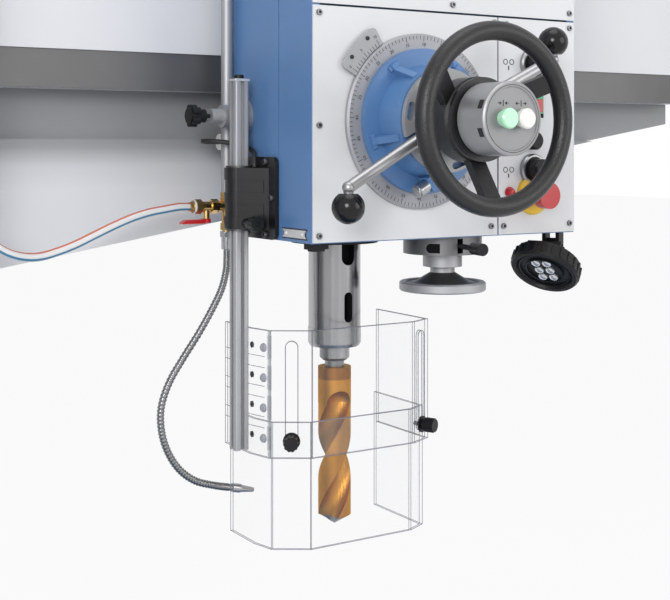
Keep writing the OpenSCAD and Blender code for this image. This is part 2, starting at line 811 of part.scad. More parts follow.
module head_hook() {
    y0 = head_rear - cut;
    z = guide_high + guide_h + seat;
    lip = spindle_back + arm_y + seat;
    box([20, y0, z], [head_w - 20, spindle_back + lip_y - seat, z + hook_t - 2]);
    box([20, lip, z - hook_t + 5], [head_w - 20, spindle_back + lip_y - seat, z + hook_t - 2]);
    for (g = guide_z) box([20, y0, g + 4], [head_w - 20, head_rear + pad_t - seat, g + guide_h - 4]);
}

// The cage behind the traverse pinion that holds the fixed stem
module stem_bridge() {
    reach = traverse_pinion_r + add_share * traverse_m + 4;
    y1 = pinion_y0 + pinion_w + 10;
    low = guide_low - recess_h + 5;
    high = min(guide_low, rack_z - add_share * traverse_m) - 5;
    for (x = [feed_x - reach - 8, feed_x + reach]) box([x, head_rear - cut, low], [x + 8, y1, high]);
    box([feed_x - reach - 8, y1 - 6, low], [feed_x + reach + 8, y1, high]);
}

module head_shell() difference() {
    box([0, panel_t, 0], [head_w, head_rear, head_h]);
    box([head_wall, panel_t - cut, head_wall], [head_w - head_wall, wall_y0, head_h - head_wall]);
    box([head_wall, wall_y1, head_wall], [head_w - head_wall, head_rear - head_wall, head_h - head_wall]);
    for (x = [-cut, head_w - 2]) box([x, cover_d, -cut], [x + 2 + cut, cover_d + 2, head_h + cut]);
}

module head_casting() color(blue) at_head() difference() {
    union() {
        head_shell();
        head_hook();
        stem_bridge();
        box([head_wall - cut, web_in, head_wall - cut],
            [head_w - head_wall + cut, web_in + head_wall, bush_high[1]]);
        translate([spindle_in, spindle_back, 0]) {
            along_z(bush_r, 0, bush_low);
            along_z(bush_r, bush_high[0], bush_high[1]);
            along_z(turret_r, head_h - cut, head_h + turret_h);
        }
    }
    translate([spindle_in, spindle_back, 0]) {
        along_z(quill_r + fit, -cut, bush_high[1] + cut);
        along_z(gear_hub_r + fit, head_h - head_wall - cut, head_h + cut);
        along_z(turret_r - 8, head_h, head_h + turret_h - 8);
    }
    translate([motor_x, spindle_back, 0]) along_z(26, head_h - head_wall - cut, head_h + cut);
    translate([feed_x, 0, feed_z]) {
        along_y(feed_journal_r + fit, wall_y0 - cut, wall_y1 + cut);
        along_y(feed_shaft_r + fit, web_in - cut, web_in + head_wall + cut);
        along_y(traverse_shaft_r + fit, head_rear - head_wall - cut, head_rear + cut);
        along_y(stem_r, head_rear + cut, head_rear + 60);
    }
    translate([fine_at[0], fine_at[1], 0]) along_z(fine_shaft_r + fit, -cut, head_wall + cut);
}

module front_panels() color(grey) at_head() {
    difference() {
        box([panel_edge, 0, panel_edge], [panel_w, panel_t, panel_h]);
        translate([feed_x, 0, feed_z]) along_y(feed_journal_r + cut, -cut, panel_t + cut);
    }
    box([panel_edge, 0, panel_h + panel_gap], [head_w - panel_edge, panel_t, head_h - panel_edge]);
}

module control_panel() color(grey) at_head() difference() {
    box([panel_w + panel_gap, 0, panel_edge], [head_w - panel_edge, panel_t, panel_h]);
    for (z = concat(selector_z, [stop_z])) translate([control_in, 0, z])
        along_y(control_stem_r + fit, -cut, panel_t + cut);
    tongue = [control_stem_r + fit, 0, control_stem_r];
    translate([control_in, 0, rocker_z]) box(-tongue - [0, cut, 0], tongue + [0, panel_t + cut, 0]);
}

module spindle_motor() color("#5a6068") at_head() translate([motor_x, spindle_back, head_h]) difference() {
    motor(motor_r, motor_h, 90);
    along_z(motor_shaft_r + fit, -cut, motor_shaft_l + 10);
}

module button_drum() color(steel) at_feed() difference() {
    union() {
        turned() polygon([[0, drum_w0], [drum_r - 3, drum_w0], [drum_r, drum_w0 + 3], [drum_r, drum_front - 2],
            [drum_r - 2, drum_front], [drum_r - 7, drum_front], [drum_r - 8, drum_front - 2],
            [0, drum_front - 2]]);
        along_y(stem_r, -drum_w0 - cut, pinion_y0 + pinion_w + 10);
    }
    for (x = [-1, 1]) translate([x * (clamp_r + 1), 0, 0])
        along_y(clamp_r - 3, -drum_front - cut, -drum_front + 24);
}

module quill_flange() color(black) at_spindle() {
    difference() {
        union() {
            along_z(flange_ring_r, -flange_ring_h / 2, 0);
            along_z(flange_ring_r - 12, -flange_ring_h, 0);
        }
        along_z(nose_ring_r + seat, -flange_ring_h - cut, cut);
    }
    translate([-flange_ring_r, -flange_ring_r, 0]) {
        box([-16, -7, -flange_ring_h - 3], [15, 10, 0]);
        box([-11, -5, -flange_ring_h - 6], [10, 8, -flange_ring_h - 2]);
    }
}

module fine_feed_drum() color(steel) at_head() translate([fine_at[0], fine_at[1], 0]) difference() {
    along_z(fine_drum_r, -fine_drum_h, 0);
    along_z(fine_shaft_r + fit, -fine_drum_h - cut, cut);
    rotate(-clutch_turn) box([-4.5, -fine_drum_r - cut, -fine_drum_h + 3], [4.5, -fine_drum_r + 26, -3]);
    rotate(-50) translate([0, -fine_drum_r + 5, -fine_drum_h + 10.5]) rotate([90, 0, 0]) linear_extrude(20) {
        translate([-4, 0]) circle(7);
        translate([-4, -7]) square([14, 14]);
    }
}

// The point where a line from p touches a circle, on the given side
function touch(p, c, r, side) = let (d = c - p, l = norm(d), a = side * asin(r / l), u = d / l)
    p + sqrt(l * l - r * r) * [u[0] * cos(a) - u[1] * sin(a), u[0] * sin(a) + u[1] * cos(a)];

module housing_shape(grow) {
    r = housing_r + grow;
    front = [-plate_t + cut, housing_y[0] - 1.4 * grow];
    back = [-plate_t + cut, housing_y[1] + grow];
    translate(post_at) circle(r);
    polygon([front, touch(front, post_at, r - 0.3, 1), touch(back, post_at, r - 0.3, -1), back]);
}

module guard_bracket() color(black) at_head() difference() {
    union() {
        translate([0, 0, plate_z[0]]) rotate([0, -90, 0]) linear_extrude(plate_t)
            translate([0, plate_y[0]]) rounded(plate_z[1] - plate_z[0], plate_y[1] - plate_y[0], 10);
        translate([0, 0, housing_z[0]]) linear_extrude(housing_z[1] - housing_z[0]) housing_shape(0);
        translate([post_at[0], 0, clamp_knob_z])
            along_y(clamp_knob_r - 3, clamp_knob_y[1] + 2, post_at[1] - swivel_r - 2);
    }
    translate([post_at[0], post_at[1], 0]) along_z(swivel_r + fit, housing_z[0] - cut, housing_z[1] + cut);
    translate([post_at[0], 0, clamp_knob_z]) along_y(3 + fit, plate_y[0], post_at[1]);
    for (z = band_z) translate([0, 0, z]) linear_extrude(band_h) difference() {
        housing_shape(6);
        housing_shape(-1.5);
        translate([-plate_t - 5, 0]) square([2 * housing_r, 2 * plate_y[1]]);
    }
}

module guard_lock_knob() color(black) at_head() translate([post_at[0], 0, clamp_knob_z]) {
    along_y(3, clamp_knob_y[0] + 2, post_at[1] - swivel_r - clamp_slack);
    difference() {
        along_y(clamp_knob_r, clamp_knob_y[0], clamp_knob_y[1]);
        for (a = [0 : 36 : 324]) rotate([0, a, 0]) translate([clamp_knob_r + 0.8, 0, 0])
            along_y(2, clamp_knob_y[0] - cut, clamp_knob_y[1] + cut);
        along_y(4, clamp_knob_y[0] - cut, clamp_knob_y[0] + 2);
    }
}

module lock_boss() color(steel) at_head() translate([0, lock_at[0], lock_at[1]]) {
    difference() {
        along_x(lock_r + 18, -8, 0);
        box([-9, riser_at[1] - riser_r - 1 - lock_at[0], -60], [1, 60, 60]);
    }
    along_x(lock_r + 5, -21, -7);
    along_x(lock_r + 6, -38, -20);
    along_x(lock_r, -lock_stem[0], -37);
}

module riser_pipe() color(steel) at_head() {
    translate([riser_at[0], riser_at[1], 0]) along_z(riser_r, riser_z[0], riser_z[1]);
    translate([riser_at[0], riser_at[1], riser_z[1]]) sphere(riser_r + 0.8);
    translate([0, riser_at[1], riser_z[1]]) along_x(riser_r, riser_at[0], 0);
    translate([0, riser_at[1], riser_z[1] - clip_drop]) box([riser_at[0], -riser_r - 4, -8], [0, riser_r + 4, 8]);
}

module coolant_valve() color(brass) at_head() translate([0, riser_at[1], 0]) {
    translate([riser_at[0], 0, 0]) {
        along_z(tee_r, -20, riser_z[0]);
        along_z(valve_nut_r, riser_z[0] - 13, riser_z[0], $fn = 6);
        along_z(valve_nut_r, 8, 18, $fn = 6);
    }
    translate([0, 0, valve_z]) {
        along_x(hose_r + 1, valve_end, valve_nuts[0][0] - 2);
        along_x(valve_nut_r - 1.5, valve_nuts[0][0] - 3, valve_nuts[0][0] + cut);
        for (x = valve_nuts) along_x(valve_nut_r, x[0], x[1], $fn = 6);
        along_x(valve_r, valve_nuts[0][1] - cut, valve_nuts[1][0] + cut);
        along_x(valve_r, valve_nuts[1][1] - cut, riser_at[0]);
        translate([valve_pivot, 0, 0]) along_z(5, -valve_drop, 0);
    }
}

module gooseneck_hose() color("#8f9498") at_head()
    ribbed_tube(goose_route, goose_r, goose_bore_r, goose_ribs, 1, 8, [0, 1, 0]);

module coolant_nozzle() color(steel) at_head() {
    end = goose_route[len(goose_route) - 1];
    dir = unit(end - goose_route[len(goose_route) - 2]);
    translate(end) rotate([0, acos(dir[2]), 0]) {
        along_z(goose_r + 1, 0, 14);
        translate([0, 0, 14]) cylinder(r1 = goose_r, r2 = goose_r - 2.5, h = 24);
    }
}

module supply_hose() color([0.85, 0.88, 0.9, 0.6]) tube(hose_route, hose_r, 12, [0, 0, 1]);

module switch_cable() color(black) at_head() tube(cable_route, cable_r, 8, [0.6, -0.5, 0.6]);

module cable_gland() color("#ebebe8") at_head() translate([0, gland_at[0], gland_at[1]]) {
    along_x(cable_r + 5.5, -6, 0);
    along_x(cable_r + 9, -14, -5);
}

// The lamp's own frame: z points back along the beam
module at_lamp() at_head() translate(lamp_at) rotate(lamp_yaw) rotate([0, lamp_tilt, 0]) children();

module lamp_bracket() color(black) at_head() {
    pin = lamp_at + lamp_pin * [sin(lamp_tilt) * cos(lamp_yaw), sin(lamp_tilt) * sin(lamp_yaw), cos(lamp_tilt)];
    translate([pin[0], pin[1], 0]) rotate(lamp_yaw) {
        for (y = [-14 - seat, 8 + seat]) box([-9, y, pin[2] - 9], [9, y + 6, 0]);
        translate([0, 0, pin[2]]) along_y(4, -14, 14);
    }
}

module work_lamp() color("#2c2e31") at_lamp() difference() {
    union() {
        rotate_extrude() polygon([[0, 6], [lamp_r - 12, 6], [lamp_r - 9, 0], [lamp_r - 3, 0], [lamp_r, 4],
            [lamp_r - 2, lamp_depth - 6], [lamp_r - 14, lamp_depth], [0, lamp_depth]]);
        for (x = [-28 : 7 : 28]) box([x - 1.5, -28, lamp_depth - cut], [x + 1.5, 28, lamp_depth + 10]);
        box([-8, -8, lamp_depth - cut], [8, 8, lamp_pin + 8]);
    }
    translate([0, 0, lamp_pin]) along_y(4 + fit, -15, 15);
}

// Feed and traverse controls

module traverse_handwheel() color(black) at_feed() difference() {
    union() {
        turned() translate([wheel_r, wheel_w]) circle(rim_r);
        turned() polygon([[0, wheel_hub_w[0]], [wheel_hub_r - 14, wheel_hub_w[0]], [wheel_hub_r, wheel_hub_w[0] + 10],
            [wheel_hub_r, wheel_hub_w[1] - 11], [wheel_hub_r - 4, wheel_hub_w[1] - 8],
            [wheel_hub_r - 4, wheel_hub_w[1] - 5], [wheel_hub_r - 1, wheel_hub_w[1] - 4],
            [wheel_hub_r - 1, wheel_hub_w[1]], [0, wheel_hub_w[1]]]);
        for (a = spoke_angles) rotate([0, -a, 0]) {
            run = wheel_r - wheel_hub_r + 8;
            rise = wheel_w - wheel_hub_w[0] - 28;
            translate([wheel_hub_r - 8, -wheel_hub_w[0] - 28, 0]) rotate(-atan2(rise, run))
                box([0, -6, -13], [norm([run, rise]), 6, 13]);
        }
    }
    along_y(traverse_shaft_r, -wheel_hub_w[1] - cut, -wheel_hub_w[0] + cut);
}

module traverse_pinion() color(steel) at_feed() difference() {
    union() {
        along_y(traverse_shaft_r, -wheel_hub_w[1], pinion_y0 + cut);
        translate([0, pinion_y0 + pinion_w, 0]) rotate([90, 0, 0])
            linear_extrude(pinion_w) rotate(90) gear(traverse_n, traverse_m);
    }
    along_y(stem_r + 2 * fit, -wheel_hub_w[1] - cut, pinion_y0 + pinion_w + cut);
}

module drum_button(side) at_feed() translate([side * (clamp_r + 1), 0, 0]) {
    along_y(clamp_r - 3 - 2 * fit, -drum_front + 4, -drum_front + 16);
    turned() polygon([[0, drum_front - 5], [clamp_r - 3.1, drum_front - 5], [clamp_r - 3.1, drum_front + 6.5],
        [clamp_r, drum_front + 6.5], [clamp_r, drum_front + clamp_h - 2], [clamp_r - 2, drum_front + clamp_h],
        [0, drum_front + clamp_h]]);
}

module clamp_button() color("#7fd08a") drum_button(-1);
module release_button() color("#f2efe8") drum_button(1);

module knob_frame() translate(knob_at) rotate([0, -90 - 28, 0]) children();

module feed_hub() color(blue) at_feed() difference() {
    union() {
        turned() polygon([[0, dial_w], [dial_seat_r, dial_w], [dial_seat_r, hub_w0], [hub_r, hub_w0],
            [hub_r, hub_w0 + hub_base_t], [hub_boss_r, hub_w0 + hub_base_t], [hub_front_r, hub_front],
            [0, hub_front]]);
        for (a = hub_rib_angles) rotate([0, -a, 0])
            translate([0, 0, -rib_t / 2]) {
                linear_extrude(rib_t) polygon([[hub_front_r - 4, -hub_w0 - 3], [hub_front_r - 4, -hub_front + 5],
                    [hub_front_r + 3, -hub_front + 5], [hub_r - 12, -hub_w0 - hub_base_t - 6],
                    [hub_r - 5, -hub_w0 - hub_base_t - 5], [hub_r - 5, -hub_w0 - 3]]);
                translate([0, 0, -rib_t / 2]) linear_extrude(2 * rib_t)
                    polygon([[hub_r - 16, -hub_w0 - 4], [hub_r - 12, -hub_w0 - hub_base_t - 4],
                        [hub_r - 6, -hub_w0 - hub_base_t - 3], [hub_r - 6, -hub_w0 - 4]]);
            }
        knob_frame() box([-11, -10, -24], [11, 14, 6]);
    }
    along_y(feed_journal_r, -hub_front - cut, -dial_w + cut);
    knob_frame() along_z(5 + fit, -6, 7);
}

module feed_shaft() color(steel) at_feed() difference() {
    union() {
        along_y(disc_r, -disc_w - disc_t, -disc_w);
        along_y(lever_boss_r, -lever_boss_w, -disc_w);
        along_y(feed_journal_r, -disc_w - cut, wall_y1);
        along_y(feed_shaft_r, wall_y1 - cut, web_in + head_wall);
        translate([0, spindle_back + pinion_w / 2, 0]) rotate([90, 0, 0])
            linear_extrude(pinion_w) gear(feed_n, feed_m);
    }
    along_y(traverse_shaft_r + 2 * fit, -lever_boss_w - cut, web_in + head_wall + cut);
    for (a = [49, 169, 289]) rotate([0, -a, 0]) translate([disc_r - 9, -disc_w + cut, 0]) rotate([90, 0, 0])
        linear_extrude(disc_t + 2 * cut) translate([0, -8]) stadium(16, 5);
    for (a = lever_angles) rotate([0, -a, 0]) box([lever_boss_r + 0.5, -disc_w - disc_t - cut, -lever_root_r - 1.5],
        [disc_r + cut, -disc_w + cut, lever_root_r + 1.5]);
}

module depth_dial() color("#9a9da1") at_feed() turned()
    polygon([[dial_seat_r + fit, dial_w], [dial_r, dial_w], [dial_r, dial_w + dial_t - 2],
        [dial_r - 3, dial_w + dial_t], [dial_seat_r + fit, dial_w + dial_t]]);

module dial_knob() color(steel) at_feed() knob_frame() {
    along_z(5, -5, 7);
    along_z(10, 6 + seat, 24);
    along_z(8.5, 23, 27);
}

function lever_point(r, w, a) = [r * cos(a), -w, r * sin(a)];
function ball_centre(a) = lever_point(lever_reach, lever_tip_w, a) + 26 * lever_point(1, 0, a + 62);

module feed_levers() color(steel) at_feed() difference() {
    union() {
        for (a = lever_angles) {
            bend = lever_point(lever_reach, lever_tip_w, a);
            rod(lever_point(lever_boss_r + 4, lever_root_w, a), bend, lever_root_r, lever_r);
            translate(bend) sphere(lever_r + 0.6);
            rod(bend, ball_centre(a) + (ball_r - 4) * unit(bend - ball_centre(a)), lever_r - 0.5, lever_r - 1.5);
        }
        along_y(lever_boss_r + 13, -lever_ring_w[1], -lever_ring_w[0]);
    }
    along_y(lever_boss_r + fit, -lever_boss_w - cut, -disc_w);
}

module lever_balls() color(black) at_feed() for (a = lever_angles) {
    bend = lever_point(lever_reach, lever_tip_w, a);
    flat = ball_centre(a) + (ball_r - 4) * unit(bend - ball_centre(a));
    difference() {
        translate(ball_centre(a)) sphere(ball_r);
        rod(flat, flat + ball_r * unit(bend - ball_centre(a)), 2 * ball_r, 2 * ball_r);
    }
}

// Spindle

module quill() {
    p = PI * feed_m;
    h = half_tooth(feed_m);
    add = add_share * feed_m;
    ded = ded_share * feed_m;
    span = [20, quill_top - 30];
    first = ceil((span[0] + p - feed_z) / p);
    last = floor((span[1] - p - feed_z) / p);
    color(steel) at_spindle() difference() {
        union() {
            along_z(quill_r, quill_nose + nose_ring_h - cut, quill_top);
            translate([0, 0, quill_nose]) cylinder(r1 = nose_ring_r - 3, r2 = nose_ring_r, h = 5);
            along_z(nose_ring_r, quill_nose + 5, quill_nose + nose_ring_h);
        }
        along_z(quill_bore_r, quill_nose - cut, quill_top + cut);
        translate([0, pinion_w / 2 + 4, 0]) rotate([90, 0, 0]) linear_extrude(pinion_w + 8)
            comb([for (i = [first : last]) feed_z + i * p], span, quill_r + 5, quill_pitch + add,
                quill_pitch - ded, p / 2 - h + add * flank, p / 2 - h - ded * flank);
        translate([0, quill_r + cut, drift_z0 + drift_w / 2]) rotate([90, 0, 0])
            linear_extrude(2 * quill_r + 2 * cut) stadium(drift_l - drift_w, drift_w / 2);
        translate([0, -quill_bore_r, key_slot_z[0] + key_slot_r]) rotate([90, 0, 0])
            linear_extrude(quill_r) stadium(key_slot_z[1] - key_slot_z[0] - 2 * key_slot_r, key_slot_r);
    }
}

module spline_shape(grow) {
    circle(spline_r + grow);
    for (a = [0, 90]) rotate(a) square([2 * (spline_r + spline_h + grow), spline_w + 2 * grow], center = true);
}

module spindle() color("#a4a8ad") at_spindle() difference() {
    union() {
        along_z(nose_r, nose_z + 4, quill_nose + cut);
        translate([0, 0, nose_z]) cylinder(r1 = nose_r - 4, r2 = nose_r, h = 4);
        along_z(quill_bore_r - 2, quill_nose, quill_top + 8);
        along_z(spindle_fit_r, quill_nose + 4, quill_nose + 34);
        along_z(spindle_fit_r, quill_top - 60, quill_top);
        translate([0, 0, quill_top + 7]) linear_extrude(spindle_top - quill_top - 7) spline_shape(0);
    }
    translate([0, 0, nose_z]) cylinder(r1 = taper_r, r2 = taper_end_r, h = taper_l);
    box([-drift_w / 2, -quill_r, drift_z0], [drift_w / 2, quill_r, drift_z0 + drift_l + 6]);
}

module twist_drill() color(gold) at_spindle() {
    translate([0, 0, nose_z]) cylinder(r1 = taper_r, r2 = shank_end_r, h = shank_l);
    along_z(taper_r - 1, nose_z - drill_neck - cut, nose_z);
    difference() {
        along_z(drill_r, nose_z - drill_plain, nose_z - drill_neck);
        for (t = [0, 180]) rotate(flute_turn + t) translate([flute_out, 0, nose_z - drill_plain - 1])
            sphere(flute_r + 0.3, $fn = 48);
    }
    translate([0, 0, drill_z]) intersection() {
        linear_extrude(flute_l, twist = -360 * flute_l / flute_lead, slices = 32)
            rotate(flute_turn - 360 * flute_l / flute_lead) difference() {
                circle(drill_r - 0.3, $fn = 40);
                for (t = [-1, 1]) translate([t * flute_out, 0]) circle(flute_r, $fn = 36);
            }
        rotate_extrude() polygon([[0, 0], [drill_r + 1, (drill_r + 1) / tan(59)], [drill_r + 1, flute_l + cut],
            [0, flute_l + cut]]);
    }
}

module drive_gear() color(steel) at_spindle() difference() {
    union() {
        along_z(gear_hub_r, gear_z - 10, head_h - 1);
        translate([0, 0, gear_z]) linear_extrude(drive_w) gear(drive_n, drive_m);
    }
    translate([0, 0, gear_z - 11]) linear_extrude(head_h - gear_z + 20) spline_shape(3 * fit);
}

module motor_pinion() color(steel) at_head() translate([motor_x, spindle_back, 0]) {
    translate([0, 0, gear_z]) linear_extrude(drive_w) rotate(180 / motor_n) gear(motor_n, drive_m);
    along_z(motor_shaft_r, gear_z + drive_w - cut, head_h + motor_shaft_l);
}

module fine_feed_wheel() color(steel) at_head() translate([fine_at[0], fine_at[1], 0]) {
    z = -fine_drum_h - seat;
    rotate_extrude() polygon([[0, z], [30, z], [30, z - 20], [18.7, z - 22], [18.7, z - 29], [42, z - 43],
        [fine_wheel_r - 10, z - 46], [fine_wheel_r - 8, z - 43], [fine_wheel_r - 2, z - 43],
        [fine_wheel_r, z - 45],
        [fine_wheel_r, z - 43 - fine_rim_h + 2], [fine_wheel_r - 2, z - 43 - fine_rim_h],
        [fine_wheel_r - 8, z - 43 - fine_rim_h], [fine_wheel_r - 10, z - 54], [0, z - 54]]);
    along_z(fine_shaft_r, z - cut, 40);
}

module feed_clutch_lever() color(black) at_head() translate([fine_at[0], fine_at[1], 0]) rotate(-clutch_turn)
    translate([0, 0, -fine_drum_h / 2]) {
        along_y(4, -fine_drum_r - 45, -fine_drum_r + 25);
        along_y(9, -fine_drum_r - 72, -fine_drum_r - 44);
    }

// Guard

module guard_swivel() color("#3a3c40") at_post() difference() {
    union() {
        along_z(swivel_r, housing_z[0] - 1, housing_z[1] + 1);
        along_z(swivel_r + 2, housing_z[0] - 3, housing_z[0] - seat);
        along_z(swivel_r + 2, housing_z[1] + seat, housing_z[1] + 3);
    }
    translate([0, 0, housing_z[0] - 10]) linear_extrude(housing_z[1] - housing_z[0] + 20) square(post_w + 2 * seat, center = true);
}

module guard_post() color("#c4c7ca") at_post() translate([0, 0, post_z0]) linear_extrude(post_l) difference() {
    translate([-post_w / 2, -post_w / 2]) rounded(post_w, post_w, 3);
    for (a = [0 : 90 : 270]) rotate(a) {
        translate([-3, post_w / 2 - 4]) square([6, 5]);
        translate([-4, post_w / 2 - 6]) square([8, 3]);
    }
    circle(2.5);
}

// The upper shield's outer face in plan, from its rear left end round to its rear right end
shield_x1 = shield_x0 + shield_w;
shield_rear = shield_front + shield_d;
shield_path = [[shield_x0, shield_rear], [shield_x0, wall_turn], [shield_x0 + wall_set, shield_front + chamfer_l[1]],
    [shield_x0 + wall_set + chamfer_l[0], shield_front], [shield_x1 - chamfer_r[0], shield_front],
    [shield_x1, shield_front + chamfer_r[1]], [shield_x1, shield_rear]];

// The unit normal on the inner side of a path's run i
function inner_side(path, i) = let (d = path[i + 1] - path[i]) [-d[1], d[0]] / norm(d);

// A path moved towards its inner side by d
function inward(path, d) = let (last = len(path) - 1) [for (i = [0 : last])
    let (m = inner_side(path, max(i - 1, 0)), n = inner_side(path, min(i, last - 1)))
    path[i] + (m + n) * d / (1 + m * n)];

// A clear sheet bent along a path, open at the back
module bent_sheet(path) {
    inner = inward(path, sheet_t);
    last = len(path) - 1;
    polygon(concat(path, [for (i = [0 : last]) inner[last - i]]));
}

// The knob's place on a chamfered corner, turned so that -y points out of it
module at_chamfer(side) {
    c = side < 0 ? chamfer_l : chamfer_r;
    share = (side < 0 ? knob_in[0] : knob_in[1]) / norm(c);
    x = side < 0 ? shield_x0 + wall_set + share * c[0] : shield_x1 - share * c[0];
    translate([x, shield_front + (1 - share) * c[1], 0]) rotate(side * atan2(c[1], c[0])) children();
}

module upper_shield() color(clear) at_head() difference() {
    translate([0, 0, -shield_top - shield_h]) linear_extrude(shield_h) bent_sheet(shield_path);
    for (s = [-1, 1]) at_chamfer(s)
        translate([0, 20, knob_z - slot_below + slot_w / 2]) rotate([90, 0, 0]) linear_extrude(40)
            stadium(shield_slot_l - slot_w, slot_w / 2);
}

module lower_shield() color(clear) at_head() difference() {
    translate([0, 0, -low_top - shield_h]) linear_extrude(shield_h) difference() {
        bent_sheet(inward(shield_path, low_in));
        translate([shield_x0, shield_rear - 4]) square([shield_w, 5]);
    }
    for (s = [-1, 1]) at_chamfer(s) translate([0, 0, knob_z]) along_y(3 + fit, -20, 25);
}

module shield_knobs() color(black) at_head() for (s = [-1, 1]) at_chamfer(s) translate([0, 0, knob_z]) {
    along_y(3, -2, 12);
    along_y(star_washer_r, -3, -seat - 0.3);
    along_y(star_r - 4, -8, -2);
    along_y(star_r - 1.2, -24, -7);
    for (a = [0 : 36 : 324]) rotate([0, a, 0]) translate([star_r - 2, 0, 0]) along_y(2, -23, -8, $fn = 24);
}

// Small controls

module valve_lever() color("#c8262b") at_head()
    translate([valve_pivot, riser_at[1], valve_z - valve_drop - seat]) {
        along_z(7, -6, 0);
        translate([0, 6, 0]) rotate([90, 0, 0]) linear_extrude(12)
            polygon([[0, 0], [-6, 0], [-11, -1], [-35, -1], [-41.5, -5], [-41.5, -7], [-6, -7], [0, -6]]);
    }

module lock_knob() color(black) at_head() translate([0, lock_at[0], lock_at[1]]) {
    along_x(3, -lock_stem[1], -lock_stem[0] - seat);
    along_x(lock_r - 1, -lock_grip[0], -lock_stem[1] + 1);
    along_x(lock_r + 1, -lock_grip[1], -lock_grip[0] + 1);
    for (a = [0 : 72 : 288]) rotate([a, 0, 0]) translate([0, lock_r, 0])
        along_x(6, -lock_grip[1] + 2, -lock_grip[0] - 1);
}

module selector(z) color(black) at_head() translate([control_in, 0, z]) {
    along_y(control_stem_r, -4, panel_t + 8);
    along_y(selector_r + 3, -8, -seat);
    along_y(selector_r, -26, -7);
    box([-selector_r + 1, -31, -4], [selector_r - 1, -25, 4]);
}

module speed_selector() selector(selector_z[0]);
module feed_selector() selector(selector_z[1]);

module start_stop_rocker() color("#1f8f4d") at_head() translate([control_in, 0, rocker_z]) {
    box([-11, -14, -24], [11, -3, 24]);
    box([-control_stem_r, -4, -3], [control_stem_r, panel_t + 6, 3]);
}

module emergency_stop() color("#cf1f24") at_head() translate([control_in, 0, stop_z]) {
    along_y(control_stem_r, -stop_h[1], panel_t + 10);
    along_y(stop_r - 8, -stop_h[1] - cut, -stop_h[0]);
    along_y(stop_r, -stop_h[2], -stop_h[1]);
}

base_casting();
column_post();
coolant_pump();
column_sleeve();
column_head();
lift_motor();
lift_screw();
arm_casting();
arm_guideways();
traverse_rack();
control_cabinet();
lift_nut();
hose_bulkhead();
head_casting();
front_panels();
control_panel();
spindle_motor();
button_drum();
quill_flange();
fine_feed_drum();
guard_bracket();
guard_lock_knob();
lock_boss();
riser_pipe();
coolant_valve();
gooseneck_hose();
coolant_nozzle();
supply_hose();
switch_cable();
cable_gland();
lamp_bracket();
work_lamp();
traverse_handwheel();
traverse_pinion();
clamp_button();
release_button();
feed_hub();
feed_shaft();
depth_dial();
dial_knob();
feed_levers();
lever_balls();
quill();
spindle();
twist_drill();
drive_gear();
motor_pinion();
fine_feed_wheel();
feed_clutch_lever();
guard_swivel();
guard_post();
upper_shield();
lower_shield();
shield_knobs();
valve_lever();
lock_knob();
speed_selector();
feed_selector();
start_stop_rocker();
emergency_stop();
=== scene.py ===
"""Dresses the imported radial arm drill: paint, bare metal, clear guard, graduations and small trim.

Sizes of pieces are in millimetres and are turned into Blender's metres by MM. Places on the head are counted
from its lower left front corner: x to the right, y back from the front panels, z up.
"""

import json
import math

import bmesh
import bpy
from mathutils import Matrix, Vector


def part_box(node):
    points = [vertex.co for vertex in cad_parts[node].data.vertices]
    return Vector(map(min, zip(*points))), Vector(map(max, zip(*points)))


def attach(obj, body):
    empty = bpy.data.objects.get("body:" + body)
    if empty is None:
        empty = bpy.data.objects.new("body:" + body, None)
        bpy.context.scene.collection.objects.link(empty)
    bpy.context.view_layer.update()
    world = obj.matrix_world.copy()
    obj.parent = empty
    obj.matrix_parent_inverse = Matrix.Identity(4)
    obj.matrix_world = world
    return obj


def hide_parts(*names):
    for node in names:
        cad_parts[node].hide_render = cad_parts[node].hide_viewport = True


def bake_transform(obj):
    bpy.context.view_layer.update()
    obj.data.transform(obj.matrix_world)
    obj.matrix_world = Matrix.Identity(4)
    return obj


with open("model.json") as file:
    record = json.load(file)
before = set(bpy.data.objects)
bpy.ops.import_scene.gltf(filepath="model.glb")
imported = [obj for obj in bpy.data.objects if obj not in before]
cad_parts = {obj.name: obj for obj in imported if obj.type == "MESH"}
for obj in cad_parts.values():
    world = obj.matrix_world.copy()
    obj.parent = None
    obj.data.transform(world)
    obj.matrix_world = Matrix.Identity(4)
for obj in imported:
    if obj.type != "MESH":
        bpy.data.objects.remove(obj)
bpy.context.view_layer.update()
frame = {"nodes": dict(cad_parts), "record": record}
nodes = frame["nodes"]
MM = 0.001
X, Y, Z = Vector((1, 0, 0)), Vector((0, 1, 0)), Vector((0, 0, 1))
FRONT = -Y

head_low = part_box("head_casting")[0]
HEAD = Vector((head_low.x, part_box("front_panels")[0].y, head_low.z))
disc_low, disc_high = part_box("feed_shaft")
FEED = Vector(((disc_low.x + disc_high.x) / 2, HEAD.y, (disc_low.z + disc_high.z) / 2))


def on_head(x, y, z):
    return HEAD + Vector((x, y, z)) * MM


def on_feed(radius, angle, forward):
    """A point round the feed axis: radius and distance in front of the panel in mm, angle in degrees."""
    a = math.radians(angle)
    return FEED + Vector((radius * math.cos(a), -forward, radius * math.sin(a))) * MM


def feed_out(angle):
    """The direction away from the feed axis at an angle in degrees."""
    return (on_feed(1, angle, 0) - FEED).normalized()


# Camera

PIXELS_WIDE, PIXELS_HIGH = 670, 600
FOCAL_PIXELS = 1250
HORIZON_PIXEL = 148
CAMERA_YAW = 32
CAMERA_AT = on_head(-878, -1463.6, 131.8)
SENSOR_WIDTH = 36
SIGHT_METRES = 50


